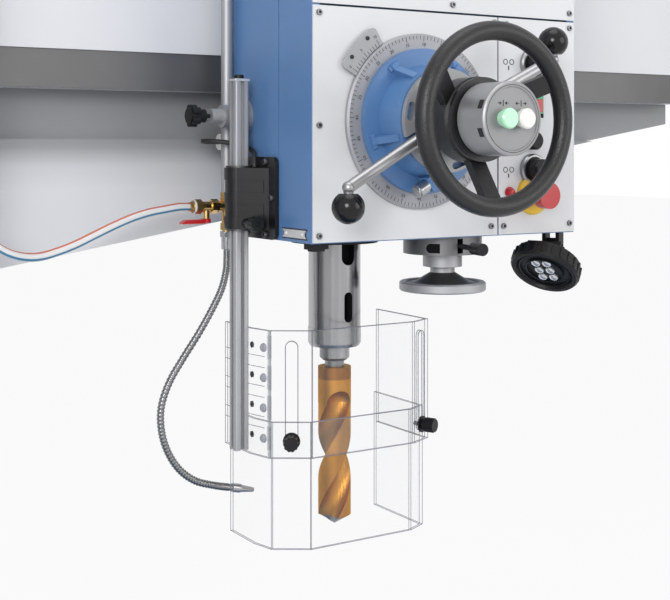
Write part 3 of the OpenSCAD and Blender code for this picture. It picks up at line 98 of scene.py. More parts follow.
def add_camera():
    data = bpy.data.cameras.new("photo_camera")
    data.sensor_fit = "HORIZONTAL"
    data.sensor_width = SENSOR_WIDTH
    data.lens = SENSOR_WIDTH * FOCAL_PIXELS / PIXELS_WIDE
    data.shift_y = (HORIZON_PIXEL - PIXELS_HIGH / 2) / PIXELS_WIDE
    data.clip_end = SIGHT_METRES
    camera = bpy.data.objects.new("photo_camera", data)
    camera.location = CAMERA_AT
    camera.rotation_euler = (math.pi / 2, 0, -math.radians(CAMERA_YAW))
    bpy.context.scene.collection.objects.link(camera)
    bpy.context.scene.camera = camera


# Materials

NOISE_LOW, NOISE_HIGH = 0.3, 0.7
GRAIN_DETAIL = 2.0
ROUGH_DRIFT = 0.15
COAT_ROUGH = 0.15

# Grain is (scale, stretch, strength, depth in metres)
EVEN = (1, 1, 1)
PEEL = (420, EVEN, 0.10, 0.0003)
CAST = (160, EVEN, 0.16, 0.0006)
TURNED = (900, (0.02, 1, 0.02), 0.10, 0.0001)
DRAWN = (900, (1, 1, 0.01), 0.10, 0.0001)
GROUND = (700, (0.015, 1, 1), 0.12, 0.0001)
FINE_TURNED = (900, (0.02, 1, 0.02), 0.08, 0.0001)
FINE_DRAWN = (900, (1, 1, 0.01), 0.08, 0.0001)
MOULDED = (600, EVEN, 0.1, 0.0002)
FINE_MOULDED = (700, EVEN, 0.1, 0.0002)
GLOSSY = (260, EVEN, 0.05, 0.0003)
RUBBER = (900, EVEN, 0.08, 0.0002)
WRINKLED = (480, EVEN, 0.5, 0.0012)


class Nodes:
    """A material's node tree with short calls to add and join nodes."""

    def __init__(self, name):
        self.material = bpy.data.materials.new(name)
        self.material.use_nodes = True
        self.tree = self.material.node_tree
        self.shader = self.tree.nodes["Principled BSDF"]

    def add(self, kind, inputs=(), **settings):
        node = self.tree.nodes.new(kind)
        for key, value in settings.items():
            setattr(node, key, value)
        for key, value in dict(inputs).items():
            if isinstance(value, bpy.types.NodeSocket):
                self.tree.links.new(value, node.inputs[key])
            else:
                node.inputs[key].default_value = value
        return node

    def place(self, stretch=EVEN):
        coord = self.add("ShaderNodeTexCoord")
        return self.add("ShaderNodeMapping", {"Vector": coord.outputs["Object"], "Scale": stretch}).outputs[0]

    def noise(self, scale, stretch=EVEN, detail=3.0):
        return self.add("ShaderNodeTexNoise",
                        {"Vector": self.place(stretch), "Scale": scale, "Detail": detail}).outputs["Fac"]

    def span(self, value, low, high):
        return self.add("ShaderNodeMapRange", {"Value": value, "From Min": NOISE_LOW, "From Max": NOISE_HIGH,
                                               "To Min": low, "To Max": high}).outputs[0]

    def tint(self, value, dark, light):
        ramp = self.add("ShaderNodeValToRGB", {"Fac": value})
        first, last = ramp.color_ramp.elements
        first.position = NOISE_LOW
        first.color = (*dark, 1)
        last.position = NOISE_HIGH
        last.color = (*light, 1)
        return ramp.outputs[0]

    def grain(self, scale, stretch, strength, depth):
        height = self.noise(scale, stretch, GRAIN_DETAIL)
        node = self.add("ShaderNodeBump", {"Height": height, "Strength": strength, "Distance": depth})
        self.link(node.outputs[0], "Normal")

    def link(self, value, socket):
        self.tree.links.new(value, self.shader.inputs[socket])

    def set(self, **sockets):
        for key, value in sockets.items():
            self.shader.inputs[key.replace("_", " ")].default_value = value


def shade(colour, factor):
    return tuple(min(1.0, c * factor) for c in colour)


def finish_surface(name, colour, rough, metal=0.0, vary=0.06, patch=9.0, grain=(), coat=0.0, shine=0.5):
    """A surface whose colour and roughness drift in soft patches."""
    n = Nodes(name)
    drift = n.noise(patch)
    n.link(n.tint(drift, shade(colour, 1 - vary), shade(colour, 1 + vary)), "Base Color")
    n.link(n.span(drift, rough * (1 - ROUGH_DRIFT), min(1.0, rough * (1 + ROUGH_DRIFT))), "Roughness")
    n.set(Metallic=metal, Coat_Weight=coat, Coat_Roughness=COAT_ROUGH, Specular_IOR_Level=shine)
    if grain:
        n.grain(*grain)
    return n.material


SHEET_PATCH = 14
SHEET_DARKEST = 0.97
SHEET_IOR = 1.58


def clear_sheet(name, colour, alpha, rough):
    n = Nodes(name)
    drift = n.noise(SHEET_PATCH)
    n.link(n.tint(drift, shade(colour, SHEET_DARKEST), colour), "Base Color")
    n.set(Roughness=rough, Alpha=alpha, IOR=SHEET_IOR)
    return n.material


# Noise of the streak and painted reflection bands, and of the wear, is (scale, stretch, detail)
STREAK_AND_REFLECTION_BANDS = (38, (1, 1, 0.004), 4.0)
BAND_DRIFT = 0.2
WEAR = (26, (1, 1, 0.35), 4.0)


def streaked_steel(name, dark, light, rough):
    """Ground steel with upright bands of darker and lighter colour: ground streaks, and painted reflections
    of the surroundings.
    """
    n = Nodes(name)
    # The bands stand partly for ground streaks and partly for painted reflections
    bands = n.noise(*STREAK_AND_REFLECTION_BANDS)
    n.link(n.tint(bands, dark, light), "Base Color")
    n.link(n.span(bands, rough * (1 - BAND_DRIFT), rough * (1 + BAND_DRIFT)), "Roughness")
    n.set(Metallic=0.9)
    n.grain(*FINE_DRAWN)
    return n.material


def ramp_by_height(n, stops):
    """A colour ramp up the part: stops are (height in metres, colour)."""
    low, high = stops[0][0], stops[-1][0]
    height = n.add("ShaderNodeSeparateXYZ", {0: n.place()}).outputs[2]
    share = n.add("ShaderNodeMapRange", {"Value": height, "From Min": low, "From Max": high}).outputs[0]
    ramp = n.add("ShaderNodeValToRGB", {"Fac": share})
    elements = ramp.color_ramp.elements
    elements[0].color = (*stops[0][1], 1)
    elements[1].color = (*stops[-1][1], 1)
    for at, colour in stops[1:-1]:
        elements.new((at - low) / (high - low)).color = (*colour, 1)
    return ramp.outputs[0]


# Heights on the drill, counted down from the spindle's nose
COLLAR_DROP, COLLAR_BLEND, BODY_DROP = 28, 0.5, 60
BODY_GOLD, COLLAR_GOLD = (0.52, 0.245, 0.04), (0.27, 0.115, 0.025)
WORN_TINT, FRESH_TINT = (0.62, 0.58, 0.55), (1.15, 1.12, 1.1)
WORN_ROUGH, FRESH_ROUGH = 0.52, 0.38
GOLD_GLINT = (0.8, 0.6, 0.25, 1)
# Numbers of the mix node's colour sockets
MIX_A, MIX_B, MIX_RESULT = 6, 7, 2


def gold_drill():
    """A worn gold coating: bright on the plain part, browner on the collar above it."""
    n = Nodes("gold_coat")
    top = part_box("twist_drill")[1].z
    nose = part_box("spindle")[0].z
    height = ramp_by_height(n, [(nose - BODY_DROP * MM, BODY_GOLD),
                                (nose - (COLLAR_DROP + COLLAR_BLEND) * MM, BODY_GOLD),
                                (nose - (COLLAR_DROP - COLLAR_BLEND) * MM, COLLAR_GOLD),
                                (top, COLLAR_GOLD)])
    wear = n.noise(*WEAR)
    mix = n.add("ShaderNodeMix", {"Factor": 1.0, MIX_A: height, MIX_B: n.tint(wear, WORN_TINT, FRESH_TINT)},
                data_type="RGBA", blend_type="MULTIPLY")
    n.link(mix.outputs[MIX_RESULT], "Base Color")
    n.link(n.span(wear, WORN_ROUGH, FRESH_ROUGH), "Roughness")
    n.set(Metallic=1.0, Specular_Tint=GOLD_GLINT)
    n.grain(*FINE_TURNED)
    return n.material


BLUE = (0.092, 0.207, 0.425)
GREY = (0.69, 0.69, 0.705)
STEEL = (0.44, 0.445, 0.455)

# The recess ends this far under the guideways. Each stop is (height from that step, share of the arm's grey).
RECESS_HEIGHT = 74
# The darker shares are painted shade in the recess and on the face below it.
RECESS_SHADE = [(-75, 1.0), (-40, 0.86), (-12, 0.47), (-1, 0.42), (1, 0.44), (RECESS_HEIGHT, 0.34)]


def shaded_arm():
    """The arm's lower front with painted shade: dark grey in the recess under the guideway, light again lower
    down.
    """
    n = Nodes("arm_recess_painted_shade")
    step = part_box("arm_guideways")[0].z - RECESS_HEIGHT * MM
    stops = [(step + height * MM, shade(GREY, factor)) for height, factor in RECESS_SHADE]
    n.link(ramp_by_height(n, stops), "Base Color")
    n.set(Roughness=0.45)
    n.grain(*PEEL)
    return n.material


HOSE_CLEAR, HOSE_RED, HOSE_BLUE = (0.78, 0.78, 0.77, 1), (0.62, 0.16, 0.10, 1), (0.06, 0.24, 0.42, 1)
# Where each stripe begins, as a share of the way round the wall
RED_FROM, RED_TO, BLUE_FROM, BLUE_TO = 0.12, 0.22, 0.86, 0.95


def striped_hose():
    """Clear hose wall with a red stripe above and a blue one below, by the place round the wall."""
    n = Nodes("clear_hose")
    side = n.add("ShaderNodeUVMap", uv_map="round")
    across = n.add("ShaderNodeSeparateXYZ", {0: side.outputs[0]}).outputs[0]
    ramp = n.add("ShaderNodeValToRGB", {"Fac": across})
    ramp.color_ramp.interpolation = "CONSTANT"
    elements = ramp.color_ramp.elements
    elements[0].color = HOSE_CLEAR
    elements[1].position = RED_FROM
    elements[1].color = HOSE_RED
    for position, colour in ((RED_TO, HOSE_CLEAR), (BLUE_FROM, HOSE_BLUE), (BLUE_TO, HOSE_CLEAR)):
        elements.new(position).color = colour
    n.link(ramp.outputs[0], "Base Color")
    n.set(Roughness=0.25, Transmission_Weight=0.15, Coat_Weight=0.4)
    return n.material


# Looks of the material slots

looks = {
    "gold_coat": gold_drill(),
    "clear_sheet": clear_sheet("clear_sheet", (0.78, 0.81, 0.84), 0.035, 0.04),
    "clear_hose": striped_hose(),
}


def add_look(name, *values, **settings):
    looks[name] = finish_surface(name, *values, **settings)


add_look("blue_paint", BLUE, 0.40, grain=PEEL, coat=0.12)
add_look("grey_paint", GREY, 0.42, vary=0.02, grain=PEEL, coat=0.15)
add_look("motor_paint", (0.16, 0.17, 0.19), 0.45, grain=PEEL)
add_look("cast_iron", (0.24, 0.245, 0.25), 0.5, 0.7, grain=CAST)
add_look("bright_steel", STEEL, 0.30, 1.0, grain=TURNED)
add_look("dark_steel", (0.10, 0.10, 0.105), 0.42, 0.8, grain=TURNED)
add_look("chrome", (0.36, 0.362, 0.372), 0.36, 0.9, grain=TURNED)
add_look("aluminium", (0.43, 0.432, 0.445), 0.5, 0.5, grain=DRAWN)
add_look("brass", (0.68, 0.47, 0.19), 0.26, 1.0, grain=TURNED)
add_look("black_plastic", (0.013, 0.013, 0.014), 0.42, grain=MOULDED, shine=0.22)
add_look("black_gloss", (0.008, 0.008, 0.009), 0.16, grain=GLOSSY, shine=0.3)
add_look("red_plastic", (0.52, 0.015, 0.02), 0.3, coat=0.3)
add_look("green_plastic", (0.02, 0.34, 0.14), 0.3, coat=0.3)
add_look("pale_green", (0.45, 0.80, 0.55), 0.25, vary=0.03, coat=0.4)
add_look("white_plastic", (0.78, 0.76, 0.72), 0.25, vary=0.03, coat=0.4)
add_look("hose_metal", (0.26, 0.262, 0.265), 0.34, 1.0, patch=40)
add_look("cable_black", (0.015, 0.015, 0.016), 0.5, grain=RUBBER)

# Looks of single pieces and faces

CLEAR_EDGE = clear_sheet("clear_edge", (0.50, 0.52, 0.58), 0.28, 0.1)
EDGE_LINE = clear_sheet("clear_edge_line", (0.22, 0.23, 0.28), 0.62, 0.2)
CLEAR_CUP = clear_sheet("clear_cup", (0.34, 0.35, 0.40), 0.7, 0.1)
# Quill and spindle steel: upright bands of painted reflection over the ground streaks
QUILL_STEEL = streaked_steel("quill_steel_painted_reflections", (0.11, 0.11, 0.112), (0.58, 0.582, 0.59), 0.20)
SPINDLE_STEEL = streaked_steel("spindle_steel_painted_reflections", (0.16, 0.162, 0.165), (0.40, 0.402, 0.41), 0.28)
SATIN_STEEL = finish_surface("satin_steel", (0.40, 0.402, 0.415), 0.48, 0.6, vary=0.05, grain=TURNED)
# A darker, less metallic copy of the drum's steel for its front faces: painted shade against the light they
# catch
DRUM_FACE_SHADE = finish_surface("drum_face_painted_shade", (0.27, 0.27, 0.275), 0.5, 0.3, vary=0.03)
DRUM_STEEL = finish_surface("drum_steel", (0.17, 0.17, 0.172), 0.42, 0.7, vary=0.08, grain=TURNED)
# Near black: painted shade in holes and inside the quill
PAINTED_SHADE_BLACK = finish_surface("painted_shade_black", (0.008, 0.008, 0.009), 0.7, shine=0.1)
VERNIER_STEEL = finish_surface("vernier_steel", (0.36, 0.362, 0.375), 0.45, 0.3, vary=0.03)
SCREW_STEEL = finish_surface("screw_steel", (0.20, 0.20, 0.21), 0.34, 1.0)
PALE_SILVER = finish_surface("pale_silver", (0.62, 0.62, 0.63), 0.38, 0.4, vary=0.03)
GUIDEWAY = finish_surface("ground_guideway", (0.15, 0.148, 0.148), 0.42, 0.75, vary=0.14, patch=5,
                          grain=GROUND)
WRINKLE_BLACK = finish_surface("wheel_black", (0.016, 0.016, 0.017), 0.34, vary=0.1, grain=WRINKLED,
                               shine=0.42)
BRACKET_BLACK = finish_surface("bracket_black", (0.010, 0.010, 0.011), 0.30, grain=FINE_MOULDED, shine=0.45)
DIAL_STEEL = finish_surface("dial_steel", (0.35, 0.353, 0.372), 0.5, 0.3, vary=0.04, grain=TURNED)
INK = finish_surface("engraved_black", (0.02, 0.02, 0.022), 0.6)
YELLOW = finish_surface("yellow_plastic", (0.80, 0.50, 0.02), 0.35, coat=0.2)
POINT_STEEL = finish_surface("ground_point", (0.22, 0.22, 0.23), 0.3, 1.0, grain=GROUND)
LENS = finish_surface("lamp_lens", (0.62, 0.64, 0.66), 0.12, 0.6, vary=0.15, patch=200, coat=0.6)


# Mesh building

BLOCK_FACES = [[0, 2, 3, 1], [4, 5, 7, 6], [0, 1, 5, 4], [2, 6, 7, 3], [0, 4, 6, 2], [1, 3, 7, 5]]
SMOOTH_DEGREES = 35
BEVEL_SEGMENTS, BEVEL_DEGREES = 2, 40
FIGURE_LIFT = 0.4


def round_axis(axis, sides):
    """The axis as a unit vector, and evenly spaced directions that stand out from it."""
    axis = Vector(axis).normalized()
    side = axis.orthogonal().normalized()
    up = axis.cross(side)
    angles = [2 * math.pi * k / sides for k in range(sides)]
    return axis, [side * math.cos(a) + up * math.sin(a) for a in angles]


def tube_faces(rows, sides):
    """The faces of a closed tube of rows with as many points as it has sides, and its two ends."""
    faces = []
    for i in range(rows - 1):
        for k in range(sides):
            n = (k + 1) % sides
            faces.append([i * sides + k, i * sides + n, (i + 1) * sides + n, (i + 1) * sides + k])
    last = (rows - 1) * sides
    return faces + [list(range(sides))[::-1], list(range(last, last + sides))]


def band(inner, outer, low, high):
    """The square profile of a ring."""
    return [(inner, low), (outer, low), (outer, high), (inner, high)]


class Shape:
    """Collects simple closed solids and makes one object of them."""

    def __init__(self):
        self.points, self.faces = [], []

    def add(self, points, faces):
        start = len(self.points)
        self.points += [Vector(p) for p in points]
        self.faces += [[start + i for i in f] for f in faces]
        return self

    def turned(self, origin, axis, profile, sides):
        """A closed solid of revolution: profile is (radius, distance along the axis) in mm, first to last."""
        axis, outward = round_axis(axis, sides)
        points = [Vector(origin) + (axis * along + out * radius) * MM
                  for radius, along in profile for out in outward]
        return self.add(points, tube_faces(len(profile), sides))

    def ring(self, origin, axis, profile, sides=48):
        """A ring: profile is a closed loop of (radius, distance along the axis) in mm."""
        axis, outward = round_axis(axis, sides)
        count = len(profile)
        points = [Vector(origin) + (axis * along + out * radius) * MM
                  for out in outward for radius, along in profile]
        faces = []
        for k in range(sides):
            n = (k + 1) % sides
            for i in range(count):
                j = (i + 1) % count
                faces.append([k * count + i, k * count + j, n * count + j, n * count + i])
        return self.add(points, faces)

    def block(self, origin, x, y, z, low, high):
        """A box in the frame of the three axes, with its corners in mm."""
        axes = [Vector(v).normalized() for v in (x, y, z)]
        points = []
        for n in range(8):
            ends = [high if n >> i & 1 else low for i in range(3)]
            points.append(Vector(origin) + sum((axes[i] * ends[i][i] * MM for i in range(3)), Vector()))
        return self.add(points, BLOCK_FACES)

    def plate(self, outline, depth):
        """A flat plate: outline is a list of points, depth the vector to its back."""
        count = len(outline)
        points = [Vector(p) for p in outline] + [Vector(p) + Vector(depth) for p in outline]
        faces = [list(range(count)), list(range(count, 2 * count))[::-1]]
        faces += [[i, count + i, count + (i + 1) % count, (i + 1) % count] for i in range(count)]
        return self.add(points, faces)

    def object(self, name, look, body, slot, bevel=0.0):
        mesh = bpy.data.meshes.new(name)
        mesh.from_pydata(self.points, [], self.faces)
        mesh.validate()
        obj = bpy.data.objects.new(name, mesh)
        bpy.context.scene.collection.objects.link(obj)
        tidy_normals(obj)
        obj.data.materials.append(look)
        if bevel:
            add_bevel(obj, bevel)
        mesh.shade_smooth()
        mesh.set_sharp_from_angle(angle=math.radians(SMOOTH_DEGREES))
        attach(obj, body)


def tidy_normals(obj):
    bm = bmesh.new()
    bm.from_mesh(obj.data)
    bmesh.ops.recalc_face_normals(bm, faces=bm.faces)
    bm.to_mesh(obj.data)
    bm.free()


def add_bevel(obj, width):
    mod = obj.modifiers.new("edge", "BEVEL")
    mod.width = width * MM
    mod.segments = BEVEL_SEGMENTS
    mod.limit_method = "ANGLE"
    mod.angle_limit = math.radians(BEVEL_DEGREES)


def digits(shape, text, origin, right, up, height):
    """Plain numbers as flat figures just in front of a face, centred on origin."""
    curve = bpy.data.curves.new("figure", "FONT")
    curve.body = text
    curve.size = height * MM
    curve.align_x = "CENTER"
    curve.align_y = "CENTER"
    curve.resolution_u = 2
    obj = bpy.data.objects.new("figure", curve)
    bpy.context.scene.collection.objects.link(obj)
    bpy.context.view_layer.update()
    mesh = obj.to_mesh()
    right, up = Vector(right).normalized(), Vector(up).normalized()
    lift = right.cross(up) * FIGURE_LIFT * MM
    flat = [Vector(origin) + right * v.co.x + up * v.co.y + lift for v in mesh.vertices]
    shape.add(flat, [list(p.vertices) for p in mesh.polygons])
    bpy.data.objects.remove(obj)
    bpy.data.curves.remove(curve)


# Cords and hoses, by the same routes as the solids

def smooth_path(points, steps):
    """A Catmull-Rom curve through the points, with steps places between neighbours."""
    path = []
    for i in range(len(points) - 1):
        a, b = points[max(i - 1, 0)], points[i]
        c, d = points[i + 1], points[min(i + 2, len(points) - 1)]
        for s in range(steps):
            t = s / steps
            path.append(0.5 * (2 * b + (c - a) * t + (2 * a - 5 * b + 4 * c - d) * t * t
                               + (3 * b - a - 3 * c + d) * t ** 3))
    return path + [points[-1]]


def sweep(name, path, radii, sides, reference):
    """A tube along a path with a radius at each point, and a UV map that runs round and along it."""
    points = []
    for i, p in enumerate(path):
        along = (path[min(i + 1, len(path) - 1)] - path[max(i - 1, 0)]).normalized()
        side = Vector(reference).cross(along).normalized()
        up = along.cross(side)
        for k in range(sides):
            a = 2 * math.pi * k / sides
            points.append(p + (side * math.cos(a) + up * math.sin(a)) * radii[i])
    mesh = bpy.data.meshes.new(name)
    mesh.from_pydata(points, [], tube_faces(len(path), sides))
    uv = mesh.uv_layers.new(name="round")
    for face in mesh.polygons[:-2]:
        wraps = {v % sides for v in face.vertices} == {0, sides - 1}
        for loop, vertex in zip(face.loop_indices, face.vertices):
            place = vertex % sides
            turn = sides if wraps and place == 0 else place
            uv.data[loop].uv = (turn / sides, vertex // sides / len(path))
    obj = bpy.data.objects.new(name, mesh)
    bpy.context.scene.collection.objects.link(obj)
    mesh.shade_smooth()
    return obj


# The gooseneck and the cable are placed on the head, the supply hose in the CAD frame
GOOSE_ROUTE = [(-12, 232, -20), (-12, 232, -34), (-13, 233, -55), (-20, 234, -82), (-35, 236, -112),
               (-57, 237, -147), (-82, 238, -182), (-104, 239, -216), (-116, 241, -252), (-115, 242, -288),
               (-104, 243, -321), (-84, 245, -350), (-58, 246, -370), (-28, 247, -381), (-9, 247, -386),
               (4, 247, -389)]
HOSE_ROUTE = [(600, 89, 1194), (582, 89, 1194), (560, 89, 1191), (535, 89, 1187), (508, 88, 1180),
              (480, 86, 1170), (450, 83, 1158), (420, 79, 1146), (390, 74, 1137), (362, 68, 1132),
              (335, 62, 1134), (310, 57, 1143), (288, 56, 1160), (271, 62, 1183), (262, 78, 1202),
              (260, 97, 1210), (260, 115, 1210)]
CABLE_ROUTE = [(-14, 254, 141), (-23, 254, 141), (-33, 253, 141), (-42, 249, 141.5), (-48, 241, 142),
               (-49, 231, 142), (-45, 221.5, 142), (-37.5, 213.5, 141.5), (-29, 207, 140.5),
               (-20.5, 200.5, 139), (-13, 192.5, 136.5), (-7.5, 183.5, 133.5), (-5, 173, 130.5),
               (-5.5, 162, 127.5), (-8, 152, 124), (-12, 144.5, 118.5), (-15, 139, 112.5),
               (-16, 136.5, 108), (-16, 136, 104)]
# Diameters in metres, as the cords' records give them
GOOSE_D, HOSE_D, CABLE_D = 0.012, 0.013, 0.007
GOOSE_STEPS, HOSE_STEPS, CABLE_STEPS = 26, 6, 6
GOOSE_SIDES, HOSE_SIDES, CABLE_SIDES = 16, 24, 16
CABLE_REFERENCE = (0.6, -0.5, 0.6)
RIB_DEPTHS = (0.0, 0.7, 1.0, 0.7)
PLAIN_POINTS = 12


def add_gooseneck():
    path = smooth_path([on_head(*p) for p in GOOSE_ROUTE], GOOSE_STEPS)
    radii = []
    for i in range(len(path)):
        plain = i < PLAIN_POINTS or i > len(path) - PLAIN_POINTS
        depth = max(RIB_DEPTHS) if plain else RIB_DEPTHS[i % len(RIB_DEPTHS)]
        radii.append(GOOSE_D / 2 - depth * MM)
    hose = sweep("gooseneck", path, radii, GOOSE_SIDES, Y)
    hose.data.materials.append(looks["hose_metal"])
    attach(hose, "head")
    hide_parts("gooseneck_hose")


def add_supply_hose():
    path = smooth_path([Vector(p) * MM for p in HOSE_ROUTE], HOSE_STEPS)
    hose = sweep("coolant_supply_hose", path, [HOSE_D / 2] * len(path), HOSE_SIDES, Z)
    hose.data.materials.append(looks["clear_hose"])
    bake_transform(hose)
    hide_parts("supply_hose")


def add_switch_cable():
    path = smooth_path([on_head(*p) for p in CABLE_ROUTE], CABLE_STEPS)
    cable = sweep("switch_lead", path, [CABLE_D / 2] * len(path), CABLE_SIDES, CABLE_REFERENCE)
    cable.data.materials.append(looks["cable_black"])
    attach(cable, "head")
    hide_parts("switch_cable")


# Finishes on the CAD nodes

BEVELS = {"head_casting": 1.5, "front_panels": 0.6, "control_panel": 0.6, "arm_casting": 2.5,
          "base_casting": 3.0, "column_head": 4.0, "control_cabinet": 3.0, "guard_bracket": 1.2,
          "feed_hub": 1.5, "traverse_handwheel": 2.0, "lamp_bracket": 1.0, "valve_lever": 0.8,
          "lock_knob": 1.0, "speed_selector": 1.0, "feed_selector": 1.0, "guard_lock_knob": 0.6,
          "start_stop_rocker": 1.5, "emergency_stop": 2.5, "shield_knobs": 1.5, "feed_clutch_lever": 1.2,
          "quill_flange": 0.8, "spindle_motor": 2.0, "lift_motor": 2.0, "coolant_pump": 2.0}
OWN_LOOK = {"arm_guideways": GUIDEWAY, "traverse_handwheel": WRINKLE_BLACK, "depth_dial": DIAL_STEEL,
            "quill": QUILL_STEEL, "spindle": SPINDLE_STEEL, "button_drum": SATIN_STEEL,
            "fine_feed_wheel": SATIN_STEEL, "fine_feed_drum": DRUM_STEEL, "feed_shaft": SATIN_STEEL,
            "riser_pipe": SATIN_STEEL, "lock_boss": SATIN_STEEL, "guard_bracket": BRACKET_BLACK}
SHEET_EDGE = 5.5
POINT_HEIGHT, BARE_SHANK = 12, 9.5
QUILL_SKIN, QUILL_RIM, SPINDLE_RIM = 3, 6, 1
DISH_RADII, DISH_DROP = (19, 57), 85
DRUM_CORE, DRUM_SKIN = 16, 0.8
# Least or greatest parts of a face's normal along an axis
FLAT, MOSTLY, HALF, SLOPING = 0.98, 0.9, 0.5, 0.2


def edge_faces(mesh):
    """The faces of a bent sheet that belong to its cut edges: flat regions too narrow to be a side."""
    regions = {}
    for face in mesh.polygons:
        n = face.normal
        key = (round(n.x, 2), round(n.y, 2), round(n.z, 2), round(n.dot(face.center), 4))
        regions.setdefault(key, []).append(face)
    edges = set()
    for (nx, ny, nz, _), faces in regions.items():
        across = Vector((-ny, nx, 0))
        corners = [mesh.vertices[i].co for f in faces for i in f.vertices]
        widths = [c.dot(across) for c in corners]
        heights = [c.z for c in corners]
        narrowest = min(max(widths) - min(widths), max(heights) - min(heights))
        if abs(nz) > MOSTLY or narrowest < SHEET_EDGE * MM:
            edges.update(f.index for f in faces)
    return edges


def from_axis(face, centre):
    """A face's distance in mm from an upright axis."""
    return math.hypot(face.center.x - centre.x, face.center.y - centre.y) / MM


def second_look(name, look, chosen):
    """Gives the chosen faces of a node another material."""
    mesh = nodes[name].data
    mesh.materials.append(look)
    for face in mesh.polygons:
        face.material_index = int(chosen(face))


def dress_nodes():
    for part in frame["record"]["subparts"]:
        obj = nodes[part["node"]]
        obj.data.materials.clear()
        obj.data.materials.append(OWN_LOOK.get(part["node"], looks[part["material_slot"]]))
    for name, width in BEVELS.items():
        add_bevel(nodes[name], width)
    for name in ("upper_shield", "lower_shield"):
        edges = edge_faces(nodes[name].data)
        second_look(name, CLEAR_EDGE, lambda face: face.index in edges)
    dress_drill_and_quill()
    dress_fine_feed()
    # The drum's front faces darker than its sides, as painted shade
    second_look("button_drum", DRUM_FACE_SHADE, lambda face: face.normal.y < -MOSTLY)
    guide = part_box("arm_guideways")[0]
    # Painted shade on the arm's front faces under the guideway
    second_look("arm_casting", shaded_arm(),
                lambda face: face.normal.y < -HALF and face.center.z < guide.z
                and face.center.x > guide.x - MM)


def dress_drill_and_quill():
    """Bare steel on the drill's point and shank, and painted shade in black on the spindle and the faces
    inside the quill.
    """
    point_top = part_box("twist_drill")[0].z + POINT_HEIGHT * MM
    shank_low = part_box("spindle")[0].z - BARE_SHANK * MM
    second_look("twist_drill", POINT_STEEL,
                lambda face: face.center.z < point_top or face.center.z > shank_low)
    low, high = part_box("quill")
    axis = low.lerp(high, 0.5)
    inside = (high.x - low.x) / 2 / MM - QUILL_SKIN
    # Painted shade: the spindle and the quill's inner faces are near black, as the shade inside the quill
    second_look("spindle", PAINTED_SHADE_BLACK, lambda face: face.center.z > low.z + SPINDLE_RIM * MM)
    second_look("quill", PAINTED_SHADE_BLACK,
                lambda face: abs(face.normal.z) < FLAT and from_axis(face, axis) < inside
                and face.center.z > low.z + QUILL_RIM * MM)


def dress_fine_feed():
    """The dark dish of the fine feed wheel, and painted shade in black in the slots of its drum."""
    low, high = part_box("fine_feed_wheel")
    wheel, dish_top = (low + high) / 2, high.z - DISH_DROP * MM
    inner, outer = DISH_RADII
    second_look("fine_feed_wheel", looks["dark_steel"],
                lambda face: face.normal.z > SLOPING and inner < from_axis(face, wheel) < outer
                and face.center.z < dish_top)
    low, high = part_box("fine_feed_drum")
    drum, outside = (low + high) / 2, (high.x - low.x) / 2 / MM - DRUM_SKIN
    # Painted shade on the faces inside the drum's slots
    second_look("fine_feed_drum", PAINTED_SHADE_BLACK,
                lambda face: abs(face.normal.z) < FLAT and DRUM_CORE < from_axis(face, drum) < outside)


# Screws

SCREW_SIDES, SOCKET_SIDES = 24, 6
PANEL_SCREWS = [(10.7, 318), (10.7, 163), (10.7, 11), (312, 15), (318, 320), (336, 14.5), (341, 319),
                (468, 14.5), (468, 319), (12, 342), (12, 588), (240, 342), (240, 588), (468, 342), (468, 588)]
PANEL_HEAD = [(4.4, 0), (4.4, 2.6), (3.8, 3.4), (2.3, 3.4), (2.3, 1.6)]
PANEL_SOCKET = [(2.25, 1.4), (2.25, 1.8)]
BRACKET_SCREWS = [(120, 112), (120, 7), (102, 60), (181, 110), (181, 8)]
BRACKET_X = -6
BRACKET_HEAD = [(4.5, 0), (4.5, 3.5), (3.9, 4.4), (2.4, 4.4), (2.4, 2)]
BRACKET_SOCKET = [(2.35, 1.8), (2.35, 2.2)]


def socket_screws(places, axis, head, socket):
    """Screw heads, and the floors of their six-sided sockets in black as painted shade."""
    heads, sockets = Shape(), Shape()
    for at in places:
        heads.turned(at, axis, head, SCREW_SIDES)
        sockets.turned(at, axis, socket, SOCKET_SIDES)
    return heads, sockets


def add_screws():
    places = [on_head(x, 0, z) for x, z in PANEL_SCREWS]
    heads, sockets = socket_screws(places, FRONT, PANEL_HEAD, PANEL_SOCKET)
    heads.object("panel_screws", SCREW_STEEL, "head", "dark_steel")
    # The socket floors are painted shade in black
    sockets.object("panel_screw_socket_shade", INK, "head", "black_plastic")


def add_bracket_screws():
    places = [on_head(BRACKET_X, y, z) for y, z in BRACKET_SCREWS]
    heads, sockets = socket_screws(places, -X, BRACKET_HEAD, BRACKET_SOCKET)
    heads.object("bracket_screws", looks["dark_steel"], "head", "dark_steel")
    # The socket floors are painted shade in black
    sockets.object("bracket_socket_shade", INK, "head", "black_plastic")


# Graduations round the feed axis

TICK_WIDTH, MARK_SUNK, TICK_RAISED = 0.7, 0.1, 0.25
LONG_EVERY = 5


def tick(shape, radius0, radius1, angle, forward):
    out = feed_out(angle)
    shape.block(on_feed(0, 0, forward), out, FRONT, out.cross(FRONT),
                (radius0, -MARK_SUNK, -TICK_WIDTH / 2), (radius1, TICK_RAISED, TICK_WIDTH / 2))


def feed_figure(shape, number, radius, angle, forward, height):
    """A number whose top points away from the feed axis."""
    out = feed_out(angle)
    digits(shape, str(number), on_feed(radius, angle, forward), FRONT.cross(out) * -1, out, height)


def arc(first, step, count):
    return [first + step * i for i in range(count)]


VERNIER_FRONT, VERNIER_T = 8.0, 3.0
VERNIER_INNER_R, VERNIER_OUTER_R = 127.5, 156
